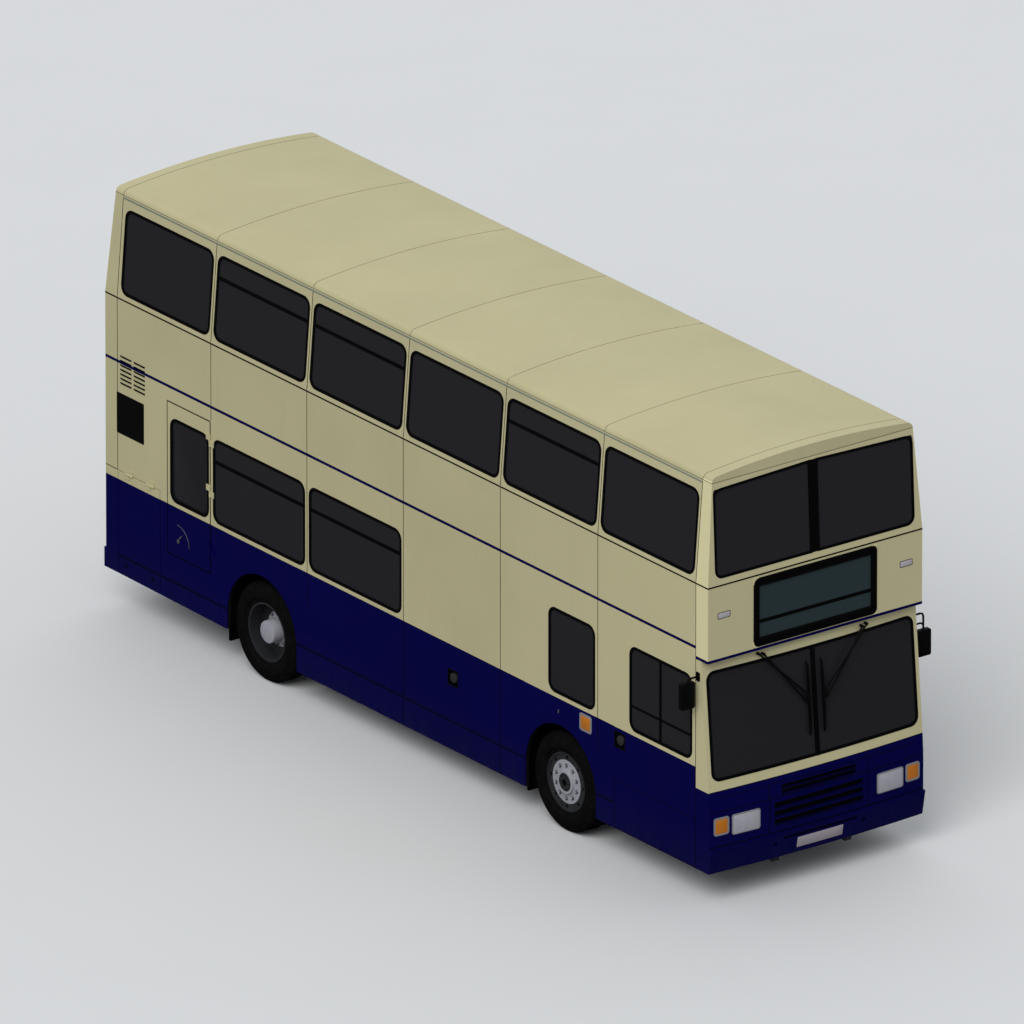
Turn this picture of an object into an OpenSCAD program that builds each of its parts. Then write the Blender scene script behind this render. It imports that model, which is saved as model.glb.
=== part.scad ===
// Two-axle, rear-engined double decker bus, right-hand drive, in millimetres.
// It faces -Y, its nearside (the kerb side, with the entrance) is +X, and Z is up from the ground.
// A station s is a distance behind the flat plane of the front, measured along the bus.

/* [Overall] */
// Length from the front plane to the rear plane of the body
body_length = 9550; // [9000:10:11500]
// Width over the lower side panels
body_width = 2550; // [2400:5:3000]
// Height of the top of the roof above the ground
overall_height = 4390; // [4250:10:5200]
// Distance between the axles
wheelbase = 4745; // [4200:5:5700]
// Station of the front axle
front_axle_s = 2305; // [2200:5:2600]

/* [Body shell] */
// Thickness of the side and end walls
wall_t = 45; // [38:1:54]
// Height of the seam between the lower and upper walls
belt_z = 3240; // [3140:5:3300]
// Inward lean of the upper side walls, in degrees
side_lean = 4.5; // [0:0.1:6]
// Backward lean of the upper front wall, in degrees
front_lean = 2.7; // [0:0.1:5]
// Forward lean of the upper rear wall, in degrees
rear_lean = 3.8; // [0:0.1:5]
// Rise of the roof between its shoulders and its middle
crown_rise = 63; // [40:1:80]
// Radius of the roof's shoulders
shoulder_r = 70; // [50:1:90]
// Thickness of the roof
roof_t = 40; // [30:1:48]
// Bottom edge of the side panels ahead of the front wheel, and of the front bumper
skirt_front_z = 325; // [290:5:360]
// Bottom edge of the side panels between the axles
skirt_mid_z = 290; // [260:5:340]
// Bottom edge of the side panels behind the rear wheel
skirt_rear_z = 365; // [330:5:400]
// Length of the corner pieces that the front wraps round each side
front_corner = 187; // [170:1:260]
// Length of the corner pieces that the rear wraps round each side
rear_corner = 193; // [170:1:260]
// Radius of the wheel arch openings
arch_r = 555; // [540:5:580]
// Height of the centre of the wheel arch openings
arch_z = 540; // [500:5:560]

/* [Front] */
// How far the bow of the lower front stands ahead of the front plane, on the centre line
bow_reach = 75; // [60:1:90]
// Depth of the bow across the width
bow_sag = 47; // [30:1:70]
// Height at which the lower front starts to lean back
crease_z = 945; // [900:5:1000]
// Lean of the panel above the crease, in degrees
crease_lean = 3.6; // [0:0.1:6]
// Top of the lower front panel, where the windscreen surround starts
front_panel_z = 1150; // [1100:5:1200]
// Lean of the windscreen and its surround, in degrees
screen_lean = 5.2; // [2:0.1:6]
// Bottom of the windscreen
screen_sill_z = 1250; // [1200:5:1300]
// Top of the windscreen
screen_top_z = 2340; // [2200:5:2380]
// Width of the bar between the two windscreen panes
screen_bar = 46; // [30:1:60]
// Corner radius of the windscreen
screen_r = 95; // [50:1:120]
// Top edge of both bumpers
bumper_top_z = 580; // [560:5:600]
// How far the front bumper stands ahead of the front plane, on the centre line
bumper_reach = 110; // [100:1:125]
// How far the rear bumper stands behind the rear plane
rear_bumper_reach = 30; // [20:1:50]
// Width of the destination box
dest_w = 1459; // [1200:1:1600]
// Bottom of the destination box
dest_z = 2505; // [2502:1:2600]
// Height of the destination box
dest_h = 694; // [500:1:700]
// Border round the destination glass
dest_border = 59; // [40:1:80]

/* [Windows] */
// Length of one body bay, from pillar to pillar
bay = 1533.5; // [1450:0.5:1600]
// Half the width of a window pillar
pillar = 33; // [25:1:45]
// Corner radius of the side windows
window_r = 100; // [60:1:130]
// Bottom of the lower windows
low_sill_z = 1410; // [1380:5:1450]
// Top of the lower windows
low_head_z = 2273; // [2150:1:2300]
// Bottom of the upper windows
up_sill_z = 3290; // [3280:5:3350]
// Top of the upper windows
up_head_z = 4150; // [3950:5:4160]
// Thickness of the glass
glass_t = 6; // [4:1:10]
// Depth of the glass behind the outer skin
glass_inset = 6; // [2:1:15]
// Gap round each pane
glass_gap = 0.3; // [0.2:0.1:1]

/* [Floors] */
// Top of the entrance platform
platform_z = 370; // [350:5:400]
// Top of the lower saloon floor
saloon_z = 620; // [600:5:660]
// Top of the raised floor over the rear axle
rear_floor_z = 850; // [830:5:880]
// Top of the upper floor
upper_floor_z = 2500; // [2450:5:2500]
// Thickness of the upper floor
upper_floor_t = 36; // [30:1:45]
// Thickness of the lower floors
floor_t = 40; // [30:1:45]
// Station of the step between the entrance platform and the saloon
front_step_s = 1600; // [1560:5:1620]
// Station of the step between the saloon and the raised floor
rear_step_s = 6300; // [6200:5:6350]
// Station of the bulkhead ahead of the engine
bulkhead_s = 8580; // [8575:5:8600]
// Width of the stairs
stair_w = 590; // [550:5:600]
// Number of rises in the stairs
stair_rises = 9; // [8:1:10]
// Station of the foot of the stairs
stair_s = 2960; // [2950:5:3000]

/* [Wheels] */
// Diameter of the tyres
tyre_d = 1000; // [940:10:1010]
// Width of a tyre
tyre_w = 264; // [240:2:270]
// Diameter of the rims
rim_d = 590; // [560:5:610]
// Inset of the front tyres behind the side of the body
front_tyre_inset = 35; // [20:1:60]
// Inset of the outer rear tyres behind the side of the body
rear_tyre_inset = 30; // [20:1:60]
// Distance between the middles of twin rear tyres
twin_pitch = 320; // [300:1:330]
// Radius of the king pins
king_pin_r = 20; // [15:0.5:24]
// Distance of each king pin from the inner side of its front tyre, towards the middle
king_pin_offset = 18; // [16:1:30]
// Length of the steering arms
steer_arm = 180; // [160:1:190]
// Radial clearance of a running pin
pin_gap = 0.05; // [0.02:0.01:0.1]

/* [Doors] */
// Station of the front edge of the entrance
entrance_s = 215; // [210:1:300]
// Length of the entrance
entrance_w = 1220; // [1100:5:1240]
// Top of the entrance
entrance_top_z = 2330; // [2200:5:2340]
// Thickness of the entrance door leaves
leaf_t = 32; // [25:1:36]
// Station of the front edge of the emergency door
emergency_s = 7860; // [7860:1:7870]
// Length of the emergency door
emergency_w = 707; // [600:1:707]
// Top of the emergency door
emergency_top_z = 2433; // [2380:1:2440]
// Station of the front edge of the engine side flaps
flap_s = 8673; // [8665:1:8700]
// Top of the engine side flaps and of the engine cover
flap_top_z = 1460; // [1400:5:1500]
// Width of the engine cover at the rear
cover_w = 2000; // [1600:10:2200]
// Gap round the hinged doors and flaps
door_gap = 8; // [7:0.5:10]
// Radius of the hinge barrels
hinge_r = 9; // [7:0.5:12]

/* [Chassis] */
// Distance between the middles of the chassis rails
rail_spacing = 860; // [800:10:900]
// Width of a chassis rail
rail_w = 75; // [60:1:90]
// Depth of the main chassis rails
rail_h = 140; // [120:5:140]
// Diameter of the towing sockets in the front bumper
tow_socket_d = 46; // [30:1:60]
// Distance of each towing socket from the centre line
tow_socket_x = 527; // [450:1:600]
// Bore of the fuel filler neck
filler_bore_d = 60; // [40:1:80]

/* [Seats] */
// Distance between seat rows
seat_pitch = 760; // [720:5:800]
// Width of a double seat
seat_w = 880; // [800:5:900]
// Depth of a seat from its front edge to the rear of its back
seat_depth = 540; // [480:5:560]
// Height of the seat cushion's underside above the floor
seat_base_h = 320; // [280:5:360]
// Height of the seat cushion
cushion_h = 110; // [80:5:140]
// Height of the seat's top above the floor
seat_top_h = 960; // [850:5:1000]

/* [Hidden] */
// Fineness of round shapes
$fn = 48;
// A distance that carries a cut clear of a face
over = 1;

hw = body_width / 2;
inner_x = hw - wall_t;
front_y = -body_length / 2 + (bumper_reach - rear_bumper_reach) / 2;
rear_s = body_length;
rear_axle_s = front_axle_s + wheelbase;
axle_z = tyre_d / 2;
side_s0 = front_corner;
side_s1 = rear_s - rear_corner;
overhang_z = upper_floor_z - upper_floor_t;
cantrail_z = overall_height - crown_rise - shoulder_r;
cantrail_x = hw - (cantrail_z - belt_z) * tan(side_lean);
crown_x = cantrail_x - shoulder_r;
crown_r = (crown_x * crown_x + crown_rise * crown_rise) / (2 * crown_rise);
bow_r = (hw * hw + bow_sag * bow_sag) / (2 * bow_sag);
bays = 6;
stair_bays = [1, 2];

// Running gear.
front_tyre_x = hw - front_tyre_inset - tyre_w / 2;
rear_tyre_x = hw - rear_tyre_inset - tyre_w / 2;
king_pin_x = front_tyre_x - tyre_w / 2 - king_pin_offset + 8;
housing_t = 25;
housing_gap = 0.3;
headlamp_x = 857;
headlamp_w = 326;
headlamp_z = 780;
headlamp_h = 208;
indicator_x = 1138;
indicator_w = 176;
indicator_z = 794;
indicator_h = 184;
lamp_depth = 35;
front_housing_r = 600;
front_housing_x = 590;
rear_housing_r = arch_r + 10;
rear_housing_x = rear_tyre_x - twin_pitch - tyre_w / 2 - housing_t - 22;
rail_x = rail_spacing / 2;
low_rail_h = 90;
rod_z = axle_z - 125;
rod_r = 18;
hub_r = 58;
spindle_gap = 0.3;

// Entrance doors: four leaves in two folding pairs.
post_gap = 11;
middle_gap = 12;
fold_gap = 6;
leaf_w = (entrance_w - 2 * post_gap - middle_gap - 2 * fold_gap) / 4;
leaf_x1 = hw - 7;
leaf_x0 = leaf_x1 - leaf_t;
leaf_z0 = platform_z + 15;
leaf_z1 = entrance_top_z - 12;
post_pin = 20;
fold_x = leaf_x1 + 3;
fold_r = 2.8;
hinge_x = hw + hinge_r + 1;

// Engine bay.
cradle_z = 340;
cradle_h = 80;
engine_s0 = 8720;
engine_s1 = 9430;
engine_top_z = 1300;

// ---------------------------------------------------------------- helpers

function st(s) = front_y + s;
function seam(i) = i < bays ? front_corner + i * bay : side_s1;

module box(x0, x1, s0, s1, z0, z1) {
    translate([x0, st(s0), z0]) cube([x1 - x0, s1 - s0, z1 - z0]);
}

// The same shape on both sides of the bus.
module both() {
    children();
    mirror([1, 0, 0]) children();
}

// A drawing in stations and heights, thickened across the bus.
module across(x0, x1) {
    translate([x0, 0, 0]) rotate([90, 0, 90]) linear_extrude(x1 - x0) translate([front_y, 0]) children();
}

// A drawing in widths and heights, thickened along the bus.
module along(s0, s1) {
    translate([0, st(s1), 0]) rotate([90, 0, 0]) linear_extrude(s1 - s0) children();
}

// A rectangle with round corners.
module rounded(a0, a1, b0, b1, r) {
    translate([a0 + r, b0]) square([a1 - a0 - 2 * r, b1 - b0]);
    translate([a0, b0 + r]) square([a1 - a0, b1 - b0 - 2 * r]);
    for (a = [a0 + r, a1 - r], b = [b0 + r, b1 - r]) translate([a, b]) circle(r);
}

// A disc, or a ring, whose axis runs across the bus.
module disc(x0, x1, r, s, z) {
    translate([x0, st(s), z]) rotate([0, 90, 0]) cylinder(r = r, h = x1 - x0);
}

// A straight rod of radius r between two points.
module rod(a, b, r) {
    d = b - a;
    translate(a) rotate([0, acos(d.z / norm(d)), atan2(d.y, d.x)]) cylinder(r = r, h = norm(d), $fn = 24);
}

// ---------------------------------------------------------------- body shell

// Everything inside the upper walls, made smaller all round by inset.
module upper_core(inset) {
    top = cantrail_z + over;
    lean_x = (top - belt_z) * tan(side_lean);
    lean_front = (top - belt_z) * tan(front_lean);
    lean_rear = (top - belt_z) * tan(rear_lean);
    w = hw - inset;
    intersection() {
        along(-over, rear_s + over)
            polygon([[-w, belt_z - over], [w, belt_z - over], [w, belt_z],
                     [w - lean_x, top], [-w + lean_x, top], [-w, belt_z]]);
        across(-hw - over, hw + over)
            polygon([[inset, belt_z - over], [rear_s - inset, belt_z - over], [rear_s - inset, belt_z],
                     [rear_s - inset - lean_rear, top], [inset + lean_front, top], [inset, belt_z]]);
    }
}

// The upper wall between two stations.
module upper_wall(s0, s1, x0, x1) {
    intersection() {
        difference() {
            upper_core(0);
            upper_core(wall_t);
        }
        box(x0, x1, s0, s1, belt_z, cantrail_z);
    }
}

// A pane of glass in the leaning upper walls.
module upper_pane(x0, x1, s0, s1) {
    intersection() {
        difference() {
            upper_core(glass_inset);
            upper_core(glass_inset + glass_t);
        }
        box(x0, x1, s0, s1, belt_z, cantrail_z);
        children();
    }
}

// The outline of upper window i, smaller all round by gap.
module upper_window(i, gap) {
    rear_pillar = i == bays - 1 ? pillar + 20 : pillar;
    rounded(seam(i) + pillar + gap, seam(i + 1) - rear_pillar - gap,
            up_sill_z + gap, up_head_z - gap, window_r - gap);
}

// The outline of the lower window in bay i.
module lower_window(i, gap) {
    rounded(seam(i) + pillar + gap, seam(i + 1) - pillar - gap,
            low_sill_z + gap, low_head_z - gap, window_r - gap);
}

module cab_window(gap) {
    rounded(front_corner + 56 + gap, 1220 - gap, low_sill_z + gap, low_head_z - gap, window_r - gap);
}

module stair_window(gap) {
    rounded(seam(1) + pillar + 10 + gap, 2493 - gap, low_sill_z + gap, low_head_z - gap, window_r - gap);
}

// A round-topped wheel opening.
module arch(s, r) {
    translate([s, arch_z]) circle(r);
    translate([s - r, 0]) square([2 * r, arch_z]);
}

// The lower side wall's outline, from the front corner piece to the rear one.
module side_outline() {
    rear_low_z = skirt_rear_z + 25;
    difference() {
        polygon([[side_s0, skirt_front_z], [front_axle_s, skirt_front_z], [front_axle_s, skirt_mid_z],
                 [rear_axle_s, skirt_mid_z], [rear_axle_s, skirt_rear_z], [side_s1, rear_low_z],
                 [side_s1, belt_z], [side_s0, belt_z]]);
        arch(front_axle_s, arch_r);
        arch(rear_axle_s, arch_r);
    }
}

// The side flap beside the engine, smaller all round by gap.
module flap_outline(gap) {
    polygon([[flap_s + gap, skirt_rear_z - 40], [side_s1 + over - 2 * gap, skirt_rear_z - 40],
             [side_s1 + over - 2 * gap, flap_top_z - gap], [flap_s + gap, flap_top_z - gap]]);
}

// Cooling slits and a slatted grille in the side wall behind the rear window.
module side_vents() {
    slit_w = 172;
    slit_h = 14;
    grille_s0 = 8947;
    grille_z0 = 1862;
    slats = 8;
    slat_pitch = 50;
    for (s = [8918, 9134], z = [2353 : 46 : 2640]) translate([s, z]) square([slit_w, slit_h]);
    for (i = [0 : slats - 1])
        translate([grille_s0, grille_z0 + i * slat_pitch]) square([405, slat_pitch - 18]);
}

module offside_lower_side() {
    color([0.75, 0.73, 0.58]) {
        difference() {
            across(-hw, -inner_x) difference() {
                side_outline();
                for (i = [3, 4]) lower_window(i, 0);
                cab_window(0);
                stair_window(0);
                translate([emergency_s, rear_floor_z]) square([emergency_w, emergency_top_z - rear_floor_z]);
                flap_outline(0);
            }
            across(-hw - over, -hw + 12) side_vents();
            filler_recess(4002, 1029);
            filler_recess(1373, 1241);
        }
        filler_neck(4002, 1029);
        filler_neck(1373, 1241);
        emergency_hinges(0);
        mirror([1, 0, 0]) flap_hinges(0);
    }
}

// A square pocket in the offside wall for a filler, and the neck inside it.
module filler_recess(s, z) {
    box(-hw - over, -hw + 30, s - 79, s + 79, z - 79, z + 79);
}

module filler_neck(s, z) {
    difference() {
        disc(-hw + 4, -inner_x, 46, s, z);
        disc(-hw + 3, -inner_x + over, filler_bore_d / 2, s, z);
    }
}

module nearside_lower_side() {
    color([0.75, 0.73, 0.58]) {
        difference() {
            across(inner_x, hw) difference() {
                side_outline();
                for (i = [1 : 4]) lower_window(i, 0);
                translate([entrance_s, platform_z]) square([entrance_w, entrance_top_z - platform_z]);
                flap_outline(0);
            }
            mirror([1, 0, 0]) across(-hw - over, -hw + 12) side_vents();
        }
        flap_hinges(0);
        // Pivot bosses under the outer entrance leaves.
        for (s = [leaf_s0 + post_pin, leaf_s3 + leaf_w - post_pin])
            translate([(leaf_x0 + leaf_x1) / 2, st(s), platform_z - over])
                cylinder(r = 12, h = leaf_z0 - platform_z + over - 0.3);
    }
}

module upper_side(side) {
    color([0.78, 0.76, 0.60]) difference() {
        if (side > 0) upper_wall(side_s0, side_s1, 0, hw + over);
        else upper_wall(side_s0, side_s1, -hw - over, 0);
        across(-hw - over, hw + over) for (i = [0 : bays - 1]) upper_window(i, 0);
    }
}

module offside_upper_side() upper_side(-1);
module nearside_upper_side() upper_side(1);

// The roof's cross-section, with the crown and shoulders moved in by inset.
module roof_section(inset) {
    x = cantrail_x - inset;
    r = shoulder_r - inset;
    intersection() {
        translate([0, overall_height - crown_r]) circle(crown_r - inset, $fn = 96);
        union() {
            translate([-x + r, cantrail_z]) square([2 * (x - r), shoulder_r + crown_rise + over]);
            for (side = [-1, 1]) intersection() {
                translate([side * (x - r), cantrail_z]) circle(r);
                translate([-x, cantrail_z]) square([2 * x, shoulder_r]);
            }
        }
    }
}

module roof() {
    lean_front = (cantrail_z - belt_z) * tan(front_lean);
    lean_rear = (cantrail_z - belt_z) * tan(rear_lean);
    rise = shoulder_r + crown_rise;
    color([0.85, 0.82, 0.65]) difference() {
        intersection() {
            along(0, rear_s) roof_section(0);
            across(-hw, hw)
                polygon([[lean_front, cantrail_z], [rear_s - lean_rear, cantrail_z],
                         [rear_s - lean_rear - rise * tan(rear_lean), cantrail_z + rise],
                         [lean_front + rise * tan(front_lean), cantrail_z + rise]]);
        }
        translate([0, 0, -0.001]) intersection() {
            along(lean_front + wall_t + 8, rear_s - lean_rear - wall_t - 8) roof_section(roof_t);
            box(-hw, hw, 0, rear_s, cantrail_z - over, overall_height);
        }
    }
}

// ---------------------------------------------------------------- front

// The space behind a bowed, leaning front surface that passes through z at the given reach.
module bow(reach, z, lean, inset, facets = 360) {
    translate([0, front_y - reach, z]) rotate([-lean, 0, 0]) translate([0, bow_r, -1500])
        cylinder(r = bow_r - inset, h = 3000, $fn = facets);
}

module slot(x, z0, z1) {
    box(-x, x, -200, front_corner, z0, z1);
}

// Upright below the crease, and cut back by a leaning bow above it; two corner returns.
module front_lower_panel() {
    color([0.02, 0.02, 0.28]) difference() {
        intersection() {
            box(-hw, hw, -200, front_corner, bumper_top_z, front_panel_z);
            bow(bow_reach, crease_z, 0, 0);
            bow(bow_reach, crease_z, crease_lean, 0);
        }
        intersection() {
            box(-inner_x, inner_x, -200, front_corner + over, bumper_top_z - over, front_panel_z + over);
            bow(bow_reach, crease_z, 0, wall_t);
            bow(bow_reach, crease_z, crease_lean, wall_t);
        }
        for (z = [962, 1014]) slot(438, z, z + 37);
        for (z = [662, 748, 834]) slot(522, z, z + 52);
        lamp_pockets();
    }
}

// Pockets for the headlamps and indicators.
module lamp_pockets() {
    both() {
        lamp_block(headlamp_x, headlamp_w, headlamp_z, headlamp_h, 20, 0);
        lamp_block(indicator_x, indicator_w, indicator_z, indicator_h, 20, 0);
    }
}

// A flat block in the bowed front, centred on x and z and square to the bow there.
module lamp_block(x, w, z, h, proud, fit) {
    translate([x, bow_y(x), z]) rotate([0, 0, asin(x / bow_r)])
        translate([-w / 2 + fit, -proud, -h / 2 + fit]) cube([w - 2 * fit, proud + lamp_depth, h - 2 * fit]);
}

// The Y of the bowed front's lower, upright part at a given X.
function bow_y(x) = front_y - bow_reach + bow_r - sqrt(bow_r * bow_r - x * x);

// The outline of one windscreen pane, smaller all round by gap.
module screen_outline(gap) {
    rounded(screen_bar / 2 + gap, inner_x - 2 - gap, screen_sill_z + gap, screen_top_z - gap, screen_r - gap);
    translate([screen_bar / 2 + gap, screen_sill_z + gap])
        square([screen_r, screen_top_z - screen_sill_z - 2 * gap]);
}

screen_reach = bow_reach - (front_panel_z - crease_z) * tan(crease_lean);

module windscreen_surround() {
    color([0.85, 0.83, 0.66]) difference() {
        intersection() {
            box(-hw, hw, -200, front_corner, front_panel_z, overhang_z);
            bow(screen_reach, front_panel_z, screen_lean, 0);
        }
        intersection() {
            box(-inner_x, inner_x, -200, front_corner + over, front_panel_z - over, overhang_z + over);
            bow(screen_reach, front_panel_z, screen_lean, wall_t);
        }
        both() along(-200, front_corner) screen_outline(0);
    }
}

module windscreen() {
    color([0.15, 0.15, 0.17]) both() intersection() {
        difference() {
            bow(screen_reach, front_panel_z, screen_lean, glass_inset, 180);
            bow(screen_reach, front_panel_z, screen_lean, glass_inset + glass_t, 180);
        }
        along(-200, front_corner) screen_outline(glass_gap);
    }
}

// The outline of one upper front window; its top edge follows the roof.
module front_window(gap) {
    bar = 30;
    outer = hw - 88;
    low = 3300;
    high_side = 4200;
    high_mid = 4236;
    r = 90;
    difference() {
        union() {
            rounded(bar + gap, outer - gap, low + gap, high_mid - gap, r - gap);
            translate([bar + gap, low + gap]) square([r, high_mid - low - 2 * gap]);
        }
        translate([bar, high_mid - gap])
            rotate(-atan((high_mid - high_side) / (outer - r - bar))) square([2 * outer, 200]);
    }
}

module front_upper_panel() {
    color([0.78, 0.76, 0.60]) difference() {
        union() {
            upper_wall(-over, front_corner, -hw - over, hw + over);
            difference() {
                box(-hw, hw, 0, front_corner, overhang_z, belt_z);
                box(-inner_x, inner_x, wall_t, front_corner + over, overhang_z - over, belt_z + over);
            }
        }
        both() along(-over, front_corner) front_window(0);
        box(-dest_w / 2, dest_w / 2, -over, front_corner, dest_z, dest_z + dest_h);
        both() box(1010, 1155, -over, 12, 2895, 2955);
    }
}

module destination_box() {
    depth = 240;
    proud = 6;
    inner = dest_w / 2 - dest_border;
    color([0.05, 0.05, 0.05]) difference() {
        box(-dest_w / 2, dest_w / 2, -proud, depth, dest_z, dest_z + dest_h);
        box(-inner, inner, -proud - over, depth - 30, dest_z + dest_border + 26, dest_z + dest_h - dest_border - 26);
    }
}

module front_bumper() {
    bumper_lean = -10;
    color([0.02, 0.02, 0.25]) difference() {
        intersection() {
            box(-hw, hw, -200, front_corner, skirt_front_z, bumper_top_z);
            bow(bumper_reach, bumper_top_z, bumper_lean, 0);
        }
        box(-inner_x, inner_x, 40, front_corner + over, skirt_front_z - over, bumper_top_z + over);
        slot(437, 505, 532);
        both() translate([tow_socket_x, st(-200), 470]) rotate([-90, 0, 0])
            cylinder(r = tow_socket_d / 2, h = 300);
    }
}

// ---------------------------------------------------------------- rear

module rear_lower_panel() {
    color([0.70, 0.68, 0.54]) {
        difference() {
            box(-hw, hw, side_s1, rear_s, bumper_top_z + 10, belt_z);
            box(-inner_x, inner_x, side_s1 - over, rear_s - wall_t, bumper_top_z, belt_z + over);
            box(-cover_w / 2, cover_w / 2, side_s1, rear_s + over, bumper_top_z, flap_top_z);
        }
        cover_hinges(0);
    }
}

module rear_upper_panel() {
    color([0.78, 0.76, 0.60]) difference() {
        upper_wall(side_s1, rear_s + over, -hw - over, hw + over);
        along(side_s1 + 20, rear_s + over) rear_window(0);
    }
}

module rear_window(gap) {
    rounded(-640 + gap, 640 - gap, up_sill_z + 10 + gap, up_head_z - 30 - gap, 90 - gap);
}

module rear_bumper() {
    color([0.02, 0.02, 0.25]) difference() {
        box(-hw, hw, side_s1, rear_s + rear_bumper_reach, skirt_rear_z + 25, bumper_top_z + 10);
        box(-inner_x, inner_x, side_s1 - over, rear_s - wall_t, skirt_rear_z, bumper_top_z + 11);
    }
}

// ---------------------------------------------------------------- glass

module end_glass() {
    color([0.15, 0.15, 0.17]) {
        both() upper_pane(0, hw, 0, front_corner) along(-over, front_corner) front_window(glass_gap);
        upper_pane(-hw, hw, side_s1, rear_s) along(side_s1, rear_s + over) rear_window(glass_gap);
        box(-dest_w / 2 + dest_border, dest_w / 2 - dest_border, 8, 8 + glass_t,
            dest_z + dest_border + 26, dest_z + dest_h - dest_border - 26);
    }
}

module side_glass() {
    color([0.15, 0.15, 0.17]) {
        for (i = [0 : bays - 1]) {
            upper_pane(0, hw, side_s0, side_s1) across(-hw, hw) upper_window(i, glass_gap);
            upper_pane(-hw, 0, side_s0, side_s1) across(-hw, hw) upper_window(i, glass_gap);
        }
        across(hw - glass_inset - glass_t, hw - glass_inset) for (i = [1 : 4]) lower_window(i, glass_gap);
        across(-hw + glass_inset, -hw + glass_inset + glass_t) {
            for (i = [3, 4]) lower_window(i, glass_gap);
            cab_window(glass_gap);
            stair_window(glass_gap);
        }
    }
}

// ---------------------------------------------------------------- floors and inside

module lower_floor() {
    cab_x = -150;
    color([0.30, 0.32, 0.35]) {
        // Entrance platform, with the step up to the saloon.
        box(cab_x, inner_x, wall_t, front_step_s, platform_z - floor_t, platform_z);
        box(cab_x, inner_x, front_step_s - floor_t, front_step_s, platform_z, saloon_z - floor_t);
        // Cab floor, with the riser beside the platform.
        box(-inner_x, cab_x, wall_t, front_step_s, saloon_z - floor_t, saloon_z);
        box(cab_x - floor_t, cab_x, wall_t, front_step_s, platform_z - floor_t, saloon_z - floor_t);
        box(cab_x, inner_x, front_step_s - floor_t, front_step_s, saloon_z - floor_t, saloon_z);
        // Saloon floor round the front wheel housings.
        difference() {
            box(-inner_x, inner_x, front_step_s, rear_step_s + floor_t, saloon_z - floor_t, saloon_z);
            both() housing_space(front_axle_s, front_housing_r, front_housing_x);
        }
        box(-inner_x, inner_x, rear_step_s, rear_step_s + floor_t, saloon_z, rear_floor_z);
        // Raised floor round the rear wheel housings.
        difference() {
            box(-inner_x, inner_x, rear_step_s + floor_t, bulkhead_s + floor_t, rear_floor_z - floor_t, rear_floor_z);
            both() housing_space(rear_axle_s, rear_housing_r, rear_housing_x);
        }
    }
}

// The room that a wheel housing takes, with its walls.
module housing_space(s, r, x) {
    across(x - housing_gap, inner_x + over) arch(s, r + housing_t + housing_gap);
}

// Its inner wall has a notch of the given height for the axle.
module wheel_housing(s, r, x, notch_z) {
    difference() {
        across(x, inner_x) intersection() {
            arch(s, r + housing_t);
            translate([s - 2 * r, arch_z - 130]) square([4 * r, 2 * r + 200]);
        }
        across(x + housing_t, inner_x + over) arch(s, r);
        box(x - over, x + housing_t + over, s - 150, s + 150, 0, notch_z);
    }
}

module wheel_arches() {
    color([0.12, 0.12, 0.13]) both() {
        wheel_housing(front_axle_s, front_housing_r, front_housing_x, axle_z);
        wheel_housing(rear_axle_s, rear_housing_r, rear_housing_x, axle_z + 150);
    }
}

module upper_floor() {
    color([0.30, 0.32, 0.35]) difference() {
        box(-inner_x, inner_x, wall_t, rear_s - wall_t, overhang_z, upper_floor_z);
        box(-inner_x - over, -inner_x + stair_w + 20, stair_s - 150, stair_s + stair_going() * (stair_rises - 1),
            overhang_z - over, upper_floor_z + over);
    }
}

function stair_going() = 205;
function stair_rise() = (upper_floor_z - saloon_z) / stair_rises;

// One zigzag flight, rising towards the rear, with a panel on its open side.
module staircase() {
    t = 30;
    n = stair_rises - 1;
    x0 = -inner_x;
    color([0.55, 0.55, 0.55]) {
        across(x0, x0 + stair_w) for (i = [0 : n - 1]) {
            s = stair_s + i * stair_going();
            z = saloon_z + (i + 1) * stair_rise();
            translate([s, z - t]) square([stair_going() + t, t]);
            translate([s, z - stair_rise()]) square([t, stair_rise()]);
        }
        // The closing riser under the upper floor's edge.
        box(x0, x0 + stair_w, stair_s + n * stair_going(), stair_s + n * stair_going() + t,
            upper_floor_z - stair_rise() - t, overhang_z);
        across(x0 + stair_w, x0 + stair_w + 20) {
            polygon([[stair_s + 320, saloon_z], [stair_s + n * stair_going() + t, saloon_z],
                     [stair_s + n * stair_going() + t, overhang_z], [stair_s + 320, overhang_z]]);
        }
    }
}

module bulkheads() {
    color([0.62, 0.62, 0.60]) {
        // Ahead of the engine.
        box(-inner_x, inner_x, bulkhead_s, bulkhead_s + floor_t, rear_floor_z, overhang_z);
        // Behind the driver, with a window in it.
        difference() {
            box(-inner_x, -200, front_step_s, front_step_s + 25, saloon_z, overhang_z);
            along(front_step_s - over, front_step_s + 26) rounded(-1130, -300, 1450, 2300, 60);
        }
        // Cab door, beside the platform.
        box(-190, -165, 650, front_step_s, saloon_z, 1500);
    }
}

module cab_dashboard() {
    column_r = 38;
    color([0.16, 0.16, 0.18]) {
        // Driver's console, standing on the cab floor.
        across(-1180, -230)
            polygon([[75, saloon_z], [260, saloon_z], [330, 1010], [420, 1060], [420, 1090], [75, 1190]]);
        // Nearside ledge behind the lower front.
        across(-140, 1120) polygon([[75, platform_z], [120, platform_z], [185, 1100], [75, 1160]]);
        // Steering column, standing on the cab floor.
        rod([steer_wheel.x, st(430), saloon_z + 14], steer_wheel - 30.3 * steer_axis, column_r);
        box(steer_wheel.x - 60, steer_wheel.x + 60, 370, 490, saloon_z, saloon_z + 60);
    }
}

steer_wheel = [-700, st(640), 1345];
steer_tilt = atan((640 - 430) / (1345 - saloon_z));
steer_axis = [0, sin(steer_tilt), cos(steer_tilt)];

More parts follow.
